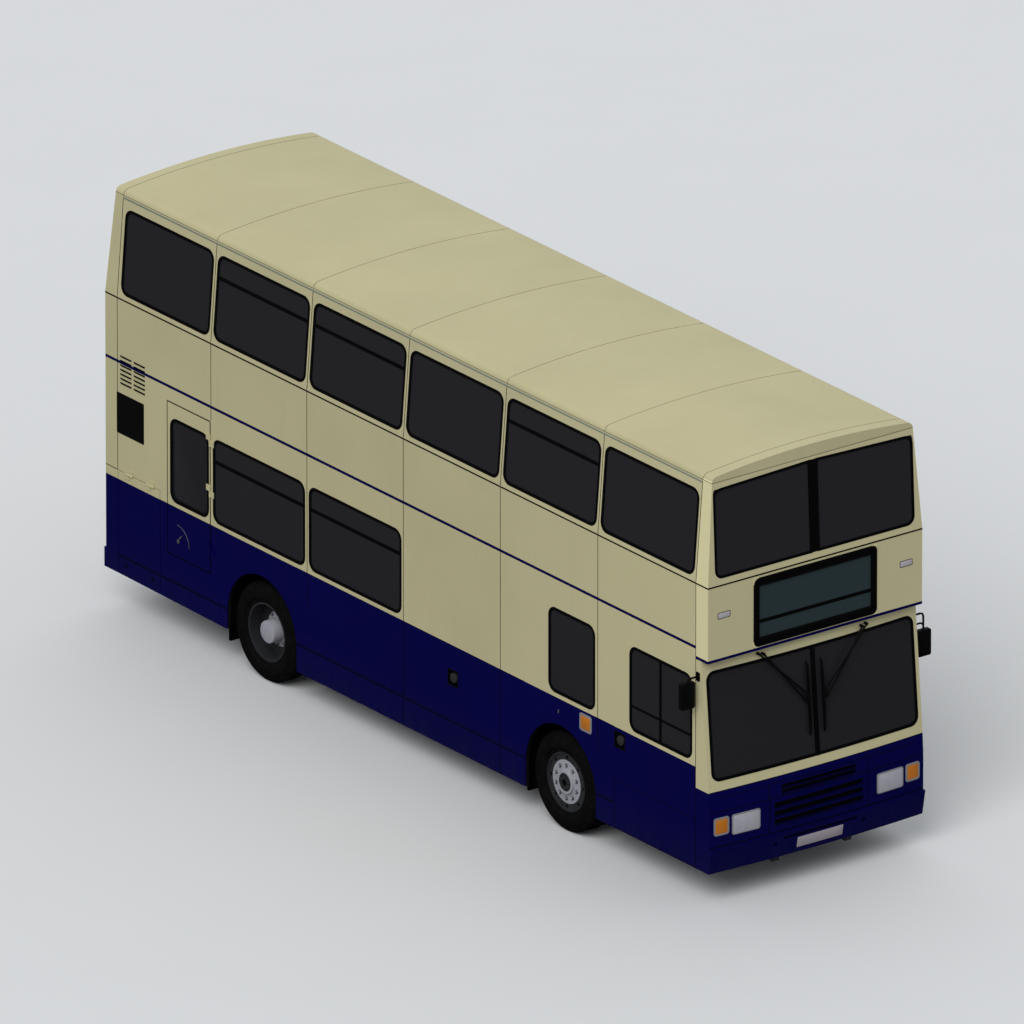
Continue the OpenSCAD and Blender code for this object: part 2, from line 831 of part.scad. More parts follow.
module steering_wheel() {
    color([0.06, 0.06, 0.06]) translate(steer_wheel) rotate([-steer_tilt, 0, 0]) {
        rotate_extrude() translate([215, 0]) circle(14);
        translate([0, 0, -30]) cylinder(r = 45, h = 38);
        for (a = [90 : 120 : 330]) rotate(a) translate([30, -14, -9]) cube([178, 28, 12]);
    }
}

module driver_seat() {
    s = 900;
    x = steer_wheel.x;
    color([0.20, 0.20, 0.24]) {
        box(x - 150, x + 150, s + 90, s + 360, saloon_z, saloon_z + 290);
        across(x - 240, x + 240)
            polygon([[s, saloon_z + 290], [s + 520, saloon_z + 290], [s + 610, saloon_z + 1000],
                     [s + 500, saloon_z + 1000], [s + 430, saloon_z + 410], [s, saloon_z + 410]]);
    }
}

// A double seat: one closed cushion and back, its front edge at station s.
module seat(x0, x1, s, floor_z) {
    z = floor_z + seat_base_h;
    across(x0, x1)
        polygon([[s, z], [s + seat_depth - 60, z], [s + seat_depth, floor_z + seat_top_h],
                 [s + seat_depth - 70, floor_z + seat_top_h], [s + seat_depth - 130, z + cushion_h], [s, z + cushion_h]]);
}

module seat_legs(x0, x1, s, floor_z) {
    for (x = [x0 + 60, x1 - 100]) {
        box(x, x + 40, s + 60, s + 400, floor_z, floor_z + 30);
        box(x, x + 40, s + 180, s + 280, floor_z + 30, floor_z + seat_base_h);
    }
}

// Every double seat as [side, station, floor height]; side is 1 on the nearside.
upper_row0 = 420;
upper_rows = 12;
stair_rows = [for (i = [0 : upper_rows - 1]) if (st_of_row(i) + seat_depth < stair_s - 160
              || st_of_row(i) > stair_s + stair_going() * (stair_rises - 1) + 60) i];
function st_of_row(i) = upper_row0 + i * seat_pitch;
lower_near_rows = [3000, 3760, 4520, 5280];
lower_off_rows = [4900, 5620];
seat_list = concat(
    [for (i = [0 : upper_rows - 1]) [1, st_of_row(i), upper_floor_z]],
    [for (i = stair_rows) [-1, st_of_row(i), upper_floor_z]],
    [for (s = lower_near_rows) [1, s, saloon_z]],
    [for (s = lower_off_rows) [-1, s, saloon_z]],
    [[1, 8020, rear_floor_z]]);
seat_wall_gap = 25;
seat_x1 = inner_x - seat_wall_gap;
seat_x0 = seat_x1 - seat_w;

module passenger_seats() {
    color([0.20, 0.25, 0.45]) {
        for (q = seat_list)
            if (q[0] > 0) seat(seat_x0, seat_x1, q[1], q[2]);
            else seat(-seat_x1, -seat_x0, q[1], q[2]);
        // Inward-facing benches on the rear wheel housings.
        both() box(rear_housing_x + 20, inner_x - seat_wall_gap, rear_axle_s - 400, rear_axle_s + 400,
                   arch_z + rear_housing_r + housing_t, arch_z + rear_housing_r + housing_t + cushion_h);
    }
}

module seat_frames() {
    color([0.45, 0.45, 0.47]) for (q = seat_list)
        if (q[0] > 0) seat_legs(seat_x0, seat_x1, q[1], q[2]);
        else seat_legs(-seat_x1, -seat_x0, q[1], q[2]);
}

module handrails() {
    r = 16;
    color([0.85, 0.75, 0.30]) {
        for (p = [[250, 1660], [-300, 3700], [250, 4480], [-260, 5560], [250, 6250]])
            translate([p[0], st(p[1]), saloon_z]) cylinder(r = r, h = overhang_z - saloon_z);
        // Guard round the stairwell on the upper deck.
        x = -inner_x + stair_w + 20 + 30;
        s0 = stair_s - 190;
        s1 = stair_s + stair_going() * (stair_rises - 1) - 20;
        for (s = [s0, (s0 + s1) / 2, s1])
            translate([x, st(s), upper_floor_z]) cylinder(r = r, h = 850);
        rod([x, st(s0), upper_floor_z + 850], [x, st(s1), upper_floor_z + 850], r);
        rod([-inner_x + 80, st(s0), upper_floor_z + 850], [x, st(s0), upper_floor_z + 850], r);
        translate([-inner_x + 80, st(s0), upper_floor_z]) cylinder(r = r, h = 850 + r);
    }
}

// ---------------------------------------------------------------- outside fittings

// A mirror on a bent arm; the head hangs below the arm.
module mirror_set(x_side, arm_z, head_z) {
    head_w = 160;
    head_h = 270;
    reach = 130;
    s = 150;
    mirror([x_side < 0 ? 1 : 0, 0, 0]) {
        rod([hw, st(s), arm_z], [hw + reach, st(s), arm_z], 9);
        rod([hw + reach, st(s), arm_z + 9], [hw + reach, st(s), head_z], 8);
        box(hw + reach - head_w / 2, hw + reach + head_w / 2, s - 28, s + 28, head_z - head_h / 2, head_z + head_h / 2);
    }
}

module mirrors() {
    color([0.04, 0.04, 0.04]) {
        mirror_set(-1, 2295, 2130);
        mirror_set(1, 2295, 1990);
    }
}

// Both wipers park upright beside the middle bar and hang from spindles above the glass.
module wipers() {
    pivot_x = 640;
    blade_x = 85;
    blade_z0 = 1470;
    blade_z1 = 2200;
    joint_z = 1840;
    pivot_z = 2405;
    color([0.03, 0.03, 0.03]) both() {
        blade_y = screen_y(blade_x, joint_z) - 40;
        pivot_y = screen_y(pivot_x, pivot_z) - 34;
        translate([blade_x, blade_y, joint_z]) rotate([-screen_lean, 0, 0])
            translate([-9, -10, blade_z0 - joint_z]) cube([18, 20, blade_z1 - blade_z0]);
        rod([pivot_x, pivot_y, pivot_z], [blade_x, blade_y, joint_z], 9);
        rod([pivot_x, pivot_y - 9, pivot_z], [pivot_x, screen_y(pivot_x, pivot_z) - 1.6, pivot_z], 14);
    }
}

// The Y of the leaning, bowed surround at a given X and height.
function screen_y(x, z) = front_y - screen_reach + (z - front_panel_z) * tan(screen_lean)
    + bow_r - sqrt(bow_r * bow_r - x * x);

module lamps() {
    fit = 0.5;
    proud = 4;
    color([0.80, 0.78, 0.85]) {
        both() {
            lamp_block(headlamp_x, headlamp_w, headlamp_z, headlamp_h, proud, fit);
            lamp_block(indicator_x, indicator_w, indicator_z, indicator_h, proud, fit);
            box(1010 + fit, 1155 - fit, 0, 12, 2895 + fit, 2955 - fit);
            // Rear clusters, on the rear panel beside the engine cover.
            box(1075, 1215, rear_s, rear_s + 20, 1000, 1420);
        }
    }
}

// ---------------------------------------------------------------- chassis

module chassis_frame() {
    low_z = platform_z - floor_t - low_rail_h;
    main_z = saloon_z - floor_t - rail_h;
    rear_z = rear_floor_z - floor_t - rail_h;
    post = 80;
    rear_end = bulkhead_s + floor_t;
    color([0.18, 0.18, 0.20]) {
        both() {
            x0 = rail_x - rail_w / 2;
            x1 = rail_x + rail_w / 2;
            box(x0, x1, 40, front_step_s + post, low_z, low_z + low_rail_h);
            box(x0, x1, front_step_s, front_step_s + post, low_z + low_rail_h, main_z + rail_h);
            box(x0, x1, front_step_s + post, rear_step_s + floor_t + post, main_z, main_z + rail_h);
            box(x0, x1, rear_step_s + floor_t, rear_step_s + floor_t + post, main_z + rail_h, rear_z + rail_h);
            box(x0, x1, rear_step_s + floor_t + post, rear_end, rear_z, rear_z + rail_h);
            box(x0, x1, rear_end - post, rear_end, cradle_z, rear_z);
            box(x0, x1, rear_end, 9470, cradle_z, cradle_z + cradle_h);
            for (s = [3300, 4120, 5900]) box(x1, inner_x, s, s + post, main_z + 60, main_z + rail_h);
        }
        x0 = rail_x - rail_w / 2;
        box(-x0, x0, 200, 200 + post, low_z, low_z + low_rail_h);
        for (s = [front_step_s, 3300, 4600, 5900]) box(-x0, x0, s, s + post, main_z, main_z + rail_h);
        for (s = [rear_step_s + floor_t, rear_end - post]) box(-x0, x0, s, s + post, rear_z, rear_z + rail_h);
        box(-x0, x0, 9390, 9470, cradle_z, cradle_z + cradle_h);
    }
}

module fuel_tank() {
    top = saloon_z - floor_t - rail_h + 60;
    color([0.25, 0.25, 0.27]) across(-1170, -540) rounded(3200, 4300, skirt_mid_z + 10, top, 50);
}

module engine() {
    color([0.35, 0.36, 0.38]) box(-620, 620, engine_s0, engine_s1, cradle_z + cradle_h, engine_top_z);
}

module front_axle() {
    beam_w = 90;
    beam_z0 = 315;
    beam_z1 = 400;
    eye_r = 46;
    eye_h = 80;
    main_z = saloon_z - floor_t - rail_h;
    color([0.15, 0.15, 0.16]) difference() {
        union() {
            box(-650, 650, front_axle_s - beam_w / 2, front_axle_s + beam_w / 2, beam_z0, beam_z1);
            both() {
                // The beam sweeps up to the king pin's eye.
                across_beam(650, beam_z0, beam_z1, king_pin_x, axle_z - eye_h / 2, axle_z + eye_h / 2, beam_w);
                translate([king_pin_x, st(front_axle_s), axle_z - eye_h / 2]) cylinder(r = eye_r, h = eye_h);
                // Leaf spring and its hangers under the rail.
                box(rail_x - 40, rail_x + 40, front_axle_s - 500, front_axle_s + 500, beam_z1, beam_z1 + 24);
                for (s = [front_axle_s - 500, front_axle_s + 440])
                    box(rail_x - 35, rail_x + 35, s, s + 60, beam_z1 + 24, main_z);
            }
        }
        both() translate([king_pin_x, st(front_axle_s), axle_z - eye_h])
            cylinder(r = king_pin_r + pin_gap, h = 2 * eye_h);
    }
}

// A beam end that rises from one height to another and ends level.
module across_beam(x0, z0, z1, x1, z2, z3, w) {
    along(front_axle_s - w / 2, front_axle_s + w / 2)
        polygon([[x0, z0], [x1 - 60, z2], [x1, z2], [x1, z3], [x1 - 60, z3], [x0, z1]]);
}

module rear_axle() {
    rear_z = rear_floor_z - floor_t - rail_h;
    tube_r = 75;
    tube_x = rear_tyre_x - twin_pitch - tyre_w / 2 - 22;
    spring_z = axle_z + tube_r - 5;
    color([0.15, 0.15, 0.16]) {
        disc(-tube_x, tube_x, tube_r, rear_axle_s, axle_z);
        disc(-hw + 90, hw - 90, hub_r - spindle_gap, rear_axle_s, axle_z);
        // Final drive, and the shaft from the engine.
        disc(10, 190, 180, rear_axle_s, axle_z);
        translate([100, st(rear_axle_s), axle_z]) rotate([-90, 0, 0]) cylinder(r = 45, h = engine_s0 - rear_axle_s);
        both() {
            box(rail_x - 40, rail_x + 40, rear_axle_s - 540, rear_axle_s + 540, spring_z, spring_z + 30);
            for (s = [rear_axle_s - 540, rear_axle_s + 470])
                box(rail_x - 35, rail_x + 35, s, s + 70, spring_z + 30, rear_z);
        }
    }
}

// ---------------------------------------------------------------- steering and wheels

// The nearside knuckle: a fork on the king pin, a stub axle and a steering arm.
module knuckle() {
    gap = 0.3;
    eye_h = 80;
    lug = 34;
    fork_r = 44;
    x = king_pin_x;
    y = st(front_axle_s);
    color([0.30, 0.30, 0.32]) {
        translate([x, y, axle_z - eye_h / 2 - gap - lug]) cylinder(r = king_pin_r, h = eye_h + 2 * gap + 2 * lug);
        for (z = [axle_z - eye_h / 2 - gap - lug, axle_z + eye_h / 2 + gap])
            translate([x, y, z]) {
                cylinder(r = fork_r, h = lug);
                translate([0, -fork_r, 0]) cube([58, 2 * fork_r, lug]);
            }
        // Upright plate between the lugs, outboard of the beam's eye.
        translate([x + 50, y - fork_r, axle_z - eye_h / 2 - gap - lug]) cube([20, 2 * fork_r, eye_h + 2 * gap + 2 * lug]);
        disc(x + 70, front_tyre_x + front_face + 8, hub_r - spindle_gap, front_axle_s, axle_z);
        // Steering arm, below the axle line and pointing to the rear.
        translate([x - 20, y, rod_z + 30]) cube([40, steer_arm + 24, 22]);
        translate([x, y, rod_z + 30]) cylinder(r = 30, h = axle_z - eye_h / 2 - gap - lug - rod_z - 30 + 1);
        translate([x, y + steer_arm, rod_z + rod_r + 0.5]) cylinder(r = 16, h = 32);
    }
}

module knuckle_nearside() knuckle();
module knuckle_offside() mirror([1, 0, 0]) knuckle();

module track_rod() {
    y = st(front_axle_s) + steer_arm;
    color([0.30, 0.30, 0.32]) rod([-king_pin_x, y, rod_z], [king_pin_x, y, rod_z], rod_r);
}

// A tyre centred on x, with its bore on the rim.
module tyre(x, s) {
    shoulder = 28;
    r = tyre_d / 2;
    translate([x, st(s), axle_z]) rotate([0, 90, 0]) rotate_extrude($fn = 96)
        polygon([[rim_d / 2, -tyre_w / 2 + 30], [rim_d / 2 + 60, -tyre_w / 2 + 4], [r - 90, -tyre_w / 2],
                 [r - shoulder, -tyre_w / 2 + 18], [r, -tyre_w / 2 + 18 + shoulder],
                 [r, tyre_w / 2 - 18 - shoulder], [r - shoulder, tyre_w / 2 - 18], [r - 90, tyre_w / 2],
                 [rim_d / 2 + 60, tyre_w / 2 - 4], [rim_d / 2, tyre_w / 2 - 30]]);
}

// A steel rim centred on x: a barrel and a disc whose face is at x + face, with a bore for the hub.
module rim(x, s, face, disc_t) {
    barrel_t = 16;
    edge = tyre_w / 2 - 30;
    translate([x, st(s), axle_z]) rotate([0, 90, 0]) difference() {
        translate([0, 0, -edge]) cylinder(r = rim_d / 2, h = 2 * edge, $fn = 96);
        translate([0, 0, -edge - over]) cylinder(r = rim_d / 2 - barrel_t, h = edge + face - disc_t + over, $fn = 96);
        translate([0, 0, face]) cylinder(r = rim_d / 2 - barrel_t, h = 3 * edge, $fn = 96);
        translate([0, 0, -edge - over]) cylinder(r = hub_r, h = 3 * edge, $fn = 64);
    }
}

// The hub cap that closes a wheel's bore, resting on the disc's face.
module hub(x, s, face, r, reach) {
    difference() {
        disc(x + face, x + face + reach, r, s, axle_z);
        disc(x + face - over, x + face + reach - 12, hub_r, s, axle_z);
    }
}

front_face = 88;
rear_face = -55;

module front_rim_nearside() {
    color([0.80, 0.80, 0.82]) {
        rim(front_tyre_x, front_axle_s, front_face, 14);
        hub(front_tyre_x, front_axle_s, front_face, 85, 34);
    }
}
module front_rim_offside() mirror([1, 0, 0]) front_rim_nearside();

module rear_rims_nearside() {
    inner_face = rear_tyre_x - twin_pitch;
    color([0.20, 0.20, 0.21]) {
        rim(rear_tyre_x, rear_axle_s, rear_face, 14);
        rim(inner_face, rear_axle_s, 56, 14);
        hub(rear_tyre_x, rear_axle_s, rear_face, 105, 150);
        // The brake drum and spacer that join the two discs.
        difference() {
            disc(inner_face + 56, rear_tyre_x + rear_face - 14, 180, rear_axle_s, axle_z);
            disc(inner_face + 55, rear_tyre_x + rear_face, hub_r, rear_axle_s, axle_z);
        }
    }
}
module rear_rims_offside() mirror([1, 0, 0]) rear_rims_nearside();

module front_tyre_nearside() color([0.05, 0.05, 0.05]) tyre(front_tyre_x, front_axle_s);
module front_tyre_offside() mirror([1, 0, 0]) front_tyre_nearside();
module rear_tyres_nearside() {
    color([0.05, 0.05, 0.05]) for (x = [rear_tyre_x, rear_tyre_x - twin_pitch]) tyre(x, rear_axle_s);
}
module rear_tyres_offside() mirror([1, 0, 0]) rear_tyres_nearside();

// ---------------------------------------------------------------- doors

// One entrance leaf with two windows, its front edge at station s.
module leaf(s) {
    rail = 42;
    mid_z = 1180;
    color([0.75, 0.73, 0.58]) across(leaf_x0, leaf_x1) difference() {
        translate([s, leaf_z0]) square([leaf_w, leaf_z1 - leaf_z0]);
        rounded(s + rail, s + leaf_w - rail, leaf_z0 + 90, mid_z - 30, 30);
        rounded(s + rail, s + leaf_w - rail, mid_z + 30, leaf_z1 - 70, 30);
    }
}

// Hinge barrels between two leaves, seen from the leaf whose edge is at station s. The leaf lies
// on the side that dir points away from; part 0 and 1 take turns up the hinge.
module fold_hinges(s, dir, part) {
    barrel = 40;
    for (z = [leaf_z0 + 160, (leaf_z0 + leaf_z1) / 2, leaf_z1 - 240]) {
        z0 = z + part * (barrel + 0.5);
        translate([fold_x, st(s + dir * fold_gap / 2), z0]) cylinder(r = fold_r, h = barrel);
        s0 = dir > 0 ? s - 25 : s - fold_gap / 2;
        box(leaf_x1 - 1, fold_x, s0, s0 + 25 + fold_gap / 2, z0, z0 + barrel);
    }
}

leaf_s0 = entrance_s + post_gap;
leaf_s1 = leaf_s0 + leaf_w + fold_gap;
leaf_s2 = leaf_s1 + leaf_w + middle_gap;
leaf_s3 = leaf_s2 + leaf_w + fold_gap;

module door_front_outer() {
    leaf(leaf_s0);
    fold_hinges(leaf_s0 + leaf_w, 1, 0);
}
module door_front_inner() {
    leaf(leaf_s1);
    fold_hinges(leaf_s1, -1, 1);
}
module door_rear_inner() {
    leaf(leaf_s2);
    fold_hinges(leaf_s2 + leaf_w, 1, 1);
}
module door_rear_outer() {
    leaf(leaf_s3);
    fold_hinges(leaf_s3, -1, 0);
}

// Hinge barrels of the emergency door: part 0 is on the wall, part 1 on the door.
module emergency_hinges(part) {
    barrel = 60;
    s = emergency_s + door_gap / 2;
    for (z = [rear_floor_z + 200, 1650, emergency_top_z - 260]) {
        z0 = z + part * (barrel + 0.5);
        translate([-hinge_x, st(s), z0]) cylinder(r = hinge_r, h = barrel);
        if (part == 0) box(-hinge_x, -hw + 2, s - 60, s - 4, z0, z0 + barrel);
        else box(-hinge_x, -hw + 2, s + 4, s + 60, z0, z0 + barrel);
        if (part == 0) box(-hinge_x, -hinge_x + hinge_r, s - 8, s, z0, z0 + barrel);
        else box(-hinge_x, -hinge_x + hinge_r, s, s + 8, z0, z0 + barrel);
    }
}

module emergency_door() {
    s0 = emergency_s + door_gap;
    s1 = emergency_s + emergency_w - door_gap;
    color([0.75, 0.73, 0.58]) {
        across(-hw, -inner_x) difference() {
            translate([s0, rear_floor_z + door_gap]) square([s1 - s0, emergency_top_z - rear_floor_z - 2 * door_gap]);
            rounded(s0 + 24, s1 - 51, low_sill_z, low_head_z, window_r);
        }
        emergency_hinges(1);
    }
}

// Hinge barrels along the top of a nearside engine flap.
module flap_hinges(part) {
    barrel = 60;
    z = flap_top_z - door_gap / 2;
    for (s = [flap_s + 90, side_s1 - 250]) {
        s0 = s + part * (barrel + 0.5);
        translate([hinge_x, st(s0), z]) rotate([-90, 0, 0]) cylinder(r = hinge_r, h = barrel);
        if (part == 0) box(hw - 2, hinge_x, s0, s0 + barrel, z + 4, z + 50);
        else box(hw - 2, hinge_x, s0, s0 + barrel, z - 50, z - 4);
        if (part == 0) box(hinge_x - hinge_r, hinge_x, s0, s0 + barrel, z, z + 8);
        else box(hinge_x - hinge_r, hinge_x, s0, s0 + barrel, z - 8, z);
    }
}

module engine_flap_nearside() {
    color([0.02, 0.02, 0.28]) {
        across(inner_x, hw) difference() {
            intersection() {
                side_outline();
                translate([flap_s + door_gap, 0]) square([side_s1 - flap_s - 2 * door_gap, flap_top_z - door_gap]);
            }
        }
        flap_hinges(1);
    }
}
module engine_flap_offside() mirror([1, 0, 0]) engine_flap_nearside();

// Hinge barrels along the top of the engine cover.
module cover_hinges(part) {
    barrel = 60;
    z = flap_top_z - door_gap / 2;
    y = st(rear_s) + hinge_r + 1;
    for (x = [-cover_w / 2 + 150, cover_w / 2 - 280]) {
        x0 = x + part * (barrel + 0.5);
        translate([x0, y, z]) rotate([0, 90, 0]) cylinder(r = hinge_r, h = barrel);
        if (part == 0) translate([x0, y - hinge_r - 3, z + 4]) cube([barrel, hinge_r + 3, 46]);
        else translate([x0, y - hinge_r - 3, z - 50]) cube([barrel, hinge_r + 3, 46]);
        if (part == 0) translate([x0, y - hinge_r, z]) cube([barrel, hinge_r, 8]);
        else translate([x0, y - hinge_r, z - 8]) cube([barrel, hinge_r, 8]);
    }
}

module engine_cover() {
    color([0.02, 0.02, 0.28]) {
        box(-cover_w / 2 + door_gap, cover_w / 2 - door_gap, rear_s - wall_t, rear_s,
            bumper_top_z + 10 + door_gap, flap_top_z - door_gap);
        cover_hinges(1);
    }
}

// ---------------------------------------------------------------- output

chassis_frame();
front_axle();
rear_axle();
fuel_tank();
engine();
lower_floor();
upper_floor();
wheel_arches();
bulkheads();
offside_lower_side();
nearside_lower_side();
offside_upper_side();
nearside_upper_side();
roof();
front_lower_panel();
windscreen_surround();
front_upper_panel();
rear_lower_panel();
rear_upper_panel();
front_bumper();
rear_bumper();
windscreen();
side_glass();
end_glass();
destination_box();
staircase();
cab_dashboard();
driver_seat();
passenger_seats();
seat_frames();
handrails();
mirrors();
wipers();
lamps();
knuckle_nearside();
knuckle_offside();
track_rod();
steering_wheel();
front_rim_nearside();
front_rim_offside();
rear_rims_nearside();
rear_rims_offside();
front_tyre_nearside();
front_tyre_offside();
rear_tyres_nearside();
rear_tyres_offside();
door_front_outer();
door_front_inner();
door_rear_inner();
door_rear_outer();
emergency_door();
engine_cover();
engine_flap_offside();
engine_flap_nearside();
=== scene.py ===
# %% [markdown]
# # A double decker bus
# The engineering model already gives every panel, wheel, floor and door its place.
# This lesson dresses it: paint, glass, rubber, lamps, seats and the small fittings
# that tell a real bus from a plain block. Everything is in metres. The bus faces -Y,
# the kerb side with the doors is +X, and the ground is at Z = 0.
#
# The first cell loads that model. Its parts are never moved: new pieces are laid on
# them, or stand in for one of them where a finer shape is needed.

# %% Load the bus
from math import asin, atan, cos, pi, radians, sin, sqrt, tan

import bmesh
import bpy
from mathutils import Matrix, Vector


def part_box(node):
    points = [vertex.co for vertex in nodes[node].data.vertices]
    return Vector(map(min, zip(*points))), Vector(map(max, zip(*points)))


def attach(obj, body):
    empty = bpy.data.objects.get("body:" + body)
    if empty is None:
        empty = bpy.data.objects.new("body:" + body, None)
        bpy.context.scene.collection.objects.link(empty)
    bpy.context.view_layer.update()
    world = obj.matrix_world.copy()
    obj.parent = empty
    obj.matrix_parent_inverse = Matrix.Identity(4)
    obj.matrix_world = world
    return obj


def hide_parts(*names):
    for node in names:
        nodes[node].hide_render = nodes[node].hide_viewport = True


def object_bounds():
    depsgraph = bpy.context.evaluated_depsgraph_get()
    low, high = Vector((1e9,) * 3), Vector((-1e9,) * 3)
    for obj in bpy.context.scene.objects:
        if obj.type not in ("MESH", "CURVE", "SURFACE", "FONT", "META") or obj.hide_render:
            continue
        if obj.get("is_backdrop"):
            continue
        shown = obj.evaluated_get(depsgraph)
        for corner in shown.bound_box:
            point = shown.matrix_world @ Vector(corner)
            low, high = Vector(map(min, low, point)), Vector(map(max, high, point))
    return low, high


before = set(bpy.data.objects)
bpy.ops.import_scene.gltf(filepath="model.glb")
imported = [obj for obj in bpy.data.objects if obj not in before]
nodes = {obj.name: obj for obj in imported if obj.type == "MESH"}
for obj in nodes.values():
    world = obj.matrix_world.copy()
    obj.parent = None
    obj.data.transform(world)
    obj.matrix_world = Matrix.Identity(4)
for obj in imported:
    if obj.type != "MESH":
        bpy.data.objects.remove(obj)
model_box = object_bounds()
print("parts:", len(nodes), "box:", [round(c, 3) for c in (*model_box[0], *model_box[1])])

# %% [markdown]
# ## Where things are
# A coach builder measures along the body from the front and calls the distance a
# station. Here it is turned into the Y axis, with the few sizes that the panels share.

# %% Stations, seams and skins
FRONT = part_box("front_upper_panel")[0].y
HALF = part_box("front_upper_panel")[1].x
BODY_LENGTH = 9.55
REAR = FRONT + BODY_LENGTH
WALL = 0.045
BELT = 3.24
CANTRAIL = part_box("offside_upper_side")[1].z
SIDE_LEAN, FRONT_LEAN, REAR_LEAN = radians(4.5), radians(2.7), radians(3.8)
CORNER, BAY, BAYS = 0.187, 1.5335, 6
AXLE_Z = 0.5
FRONT_AXLE, REAR_AXLE = 2.305, 7.05
REAR_CORNER = 9.357
FLOOR = {"saloon": 0.62, "rear": 0.85, "upper": 2.5}
SIDES = ((-1, "offside"), (1, "nearside"))


def at(station):
    return FRONT + station


def seam(i):
    return CORNER + i * BAY if i < BAYS else REAR_CORNER


print("front plane", round(FRONT, 3), "half width", round(HALF, 3), "rear plane", round(REAR, 3))

# %% [markdown]
# ## The camera
# A very long lens far away keeps the bus's parallel lines parallel, the way a
# drawing office would show it. It looks down on the offside front corner.


# %% Camera
def new_object(name, data):
    made = bpy.data.objects.new(name, data)
    bpy.context.scene.collection.objects.link(made)
    return made


AZIMUTH, ELEVATION = radians(-37.01), radians(21.884)
VIEW_WIDTH = 9.660
LENS, SENSOR = 1600.0, 36.0
back = Vector((sin(AZIMUTH) * cos(ELEVATION), -cos(AZIMUTH) * cos(ELEVATION), sin(ELEVATION)))
right = Vector((cos(AZIMUTH), sin(AZIMUTH), 0))
up = back.cross(right)
FRONT_CORNER_X, AIM_LEFT, AIM_UP = -1.2735, 1.8491, 0.7208
target = Vector((FRONT_CORNER_X, FRONT, BELT)) - right * AIM_LEFT + up * AIM_UP
camera = new_object("camera", bpy.data.cameras.new("camera"))
camera.data.lens, camera.data.sensor_width = LENS, SENSOR
distance = VIEW_WIDTH / 2 / (SENSOR / 2 / LENS)
camera.location = target + back * distance
camera.rotation_mode = "QUATERNION"
camera.rotation_quaternion = (-back).to_track_quat("-Z", "Y")
camera.data.clip_start, camera.data.clip_end = 10.0, 2000.0
bpy.context.scene.camera = camera
print("camera distance", round(distance, 1), "m")

# %% [markdown]
# ## Shader arithmetic
# A material is a little network of nodes. Writing it as plain arithmetic keeps it
# readable: the class below wraps one output socket, and each operator adds the Math
# node that it stands for. `node` adds any other kind of node.


# %% Sockets that can be added and compared
def operator(operation):
    return lambda value, *others: value.math(operation, *others)


class Value:
    __add__, __sub__, __mul__ = operator("ADD"), operator("SUBTRACT"), operator("MULTIPLY")
    __gt__, __lt__ = operator("GREATER_THAN"), operator("LESS_THAN")
    __mod__, __abs__ = operator("FLOORED_MODULO"), operator("ABSOLUTE")

    def __init__(self, finish, socket):
        self.finish, self.socket = finish, socket

    def math(self, operation, *others):
        return self.finish.node("ShaderNodeMath", {"operation": operation}, dict(enumerate((self, *others))))

    def __rsub__(self, other):
        return self.finish.node("ShaderNodeMath", {"operation": "SUBTRACT"}, {0: other, 1: self})


print("sockets can be added, multiplied and compared")

# %% [markdown]
# ## Finishes
# A finish starts as one Principled shader. `set` plugs numbers, colours or sockets into
# it, and the other methods add the noise, ranges, mixes and bumps that most finishes
# need. `mottled` is the everyday one, so that no surface stays perfectly even.


# %% Finishes
class Finish:
    """A material with one Principled shader, built up by arithmetic."""

    def __init__(self, name, color, roughness=0.5, **sockets):
        self.material = bpy.data.materials.new(name)
        self.material.use_nodes = True
        self.tree = self.material.node_tree
        self.shader = self.tree.nodes["Principled BSDF"]
        self.set(Base_Color=color, Roughness=roughness, **sockets)

    def put(self, socket, value):
        if isinstance(value, Value):
            self.tree.links.new(value.socket, socket)
        elif socket.type == "RGBA" and len(value) == 3:
            socket.default_value = (*value, 1)
        else:
            socket.default_value = value

    def set(self, **sockets):
        for name, value in sockets.items():
            self.put(self.shader.inputs[name.replace("_", " ")], value)
        return self

    def node(self, kind, settings=None, sockets=None, out=0):
        made = self.tree.nodes.new(kind)
        for name, value in (settings or {}).items():
            setattr(made, name, value)
        for name, value in (sockets or {}).items():
            self.put(made.inputs[name], value)
        if isinstance(out, (list, tuple)):
            return [Value(self, made.outputs[o]) for o in out]
        return Value(self, made.outputs[out])

    def place(self):
        return self.node("ShaderNodeTexCoord", out="Object")

    def xyz(self, place=None):
        return self.node("ShaderNodeSeparateXYZ", {}, {0: place or self.place()}, out=(0, 1, 2))

    def noise(self, scale, detail=3.0, roughness=0.55, stretch=None):
        place = self.place()
        if stretch:
            place = self.node("ShaderNodeMapping", {}, {"Vector": place, "Scale": stretch})
        return self.node("ShaderNodeTexNoise", {}, {"Vector": place, "Scale": scale, "Detail": detail,
                                                   "Roughness": roughness})

    def between(self, value, low, high, to_low, to_high):
        return self.node("ShaderNodeMapRange", {}, {"Value": value, "From Min": low, "From Max": high,
                                                   "To Min": to_low, "To Max": to_high})

    def spread(self, noise, low, high):
        """Noise mostly lies between 0.3 and 0.7; this stretches it to run from low to high."""
        return self.between(noise, 0.3, 0.7, low, high)

    def mix(self, factor, a, b):
        made = self.tree.nodes.new("ShaderNodeMix")
        made.data_type = "RGBA"
        self.put(made.inputs["Factor"], factor)
        self.put(made.inputs[6], a)
        self.put(made.inputs[7], b)
        return Value(self, made.outputs[2])

    def bump(self, height, distance, strength=1.0):
        return self.set(Normal=self.node("ShaderNodeBump", {}, {"Height": height, "Distance": distance,
                                                                "Strength": strength}))


def shade(color, factor):
    return tuple(min(1.0, c * factor) for c in color)


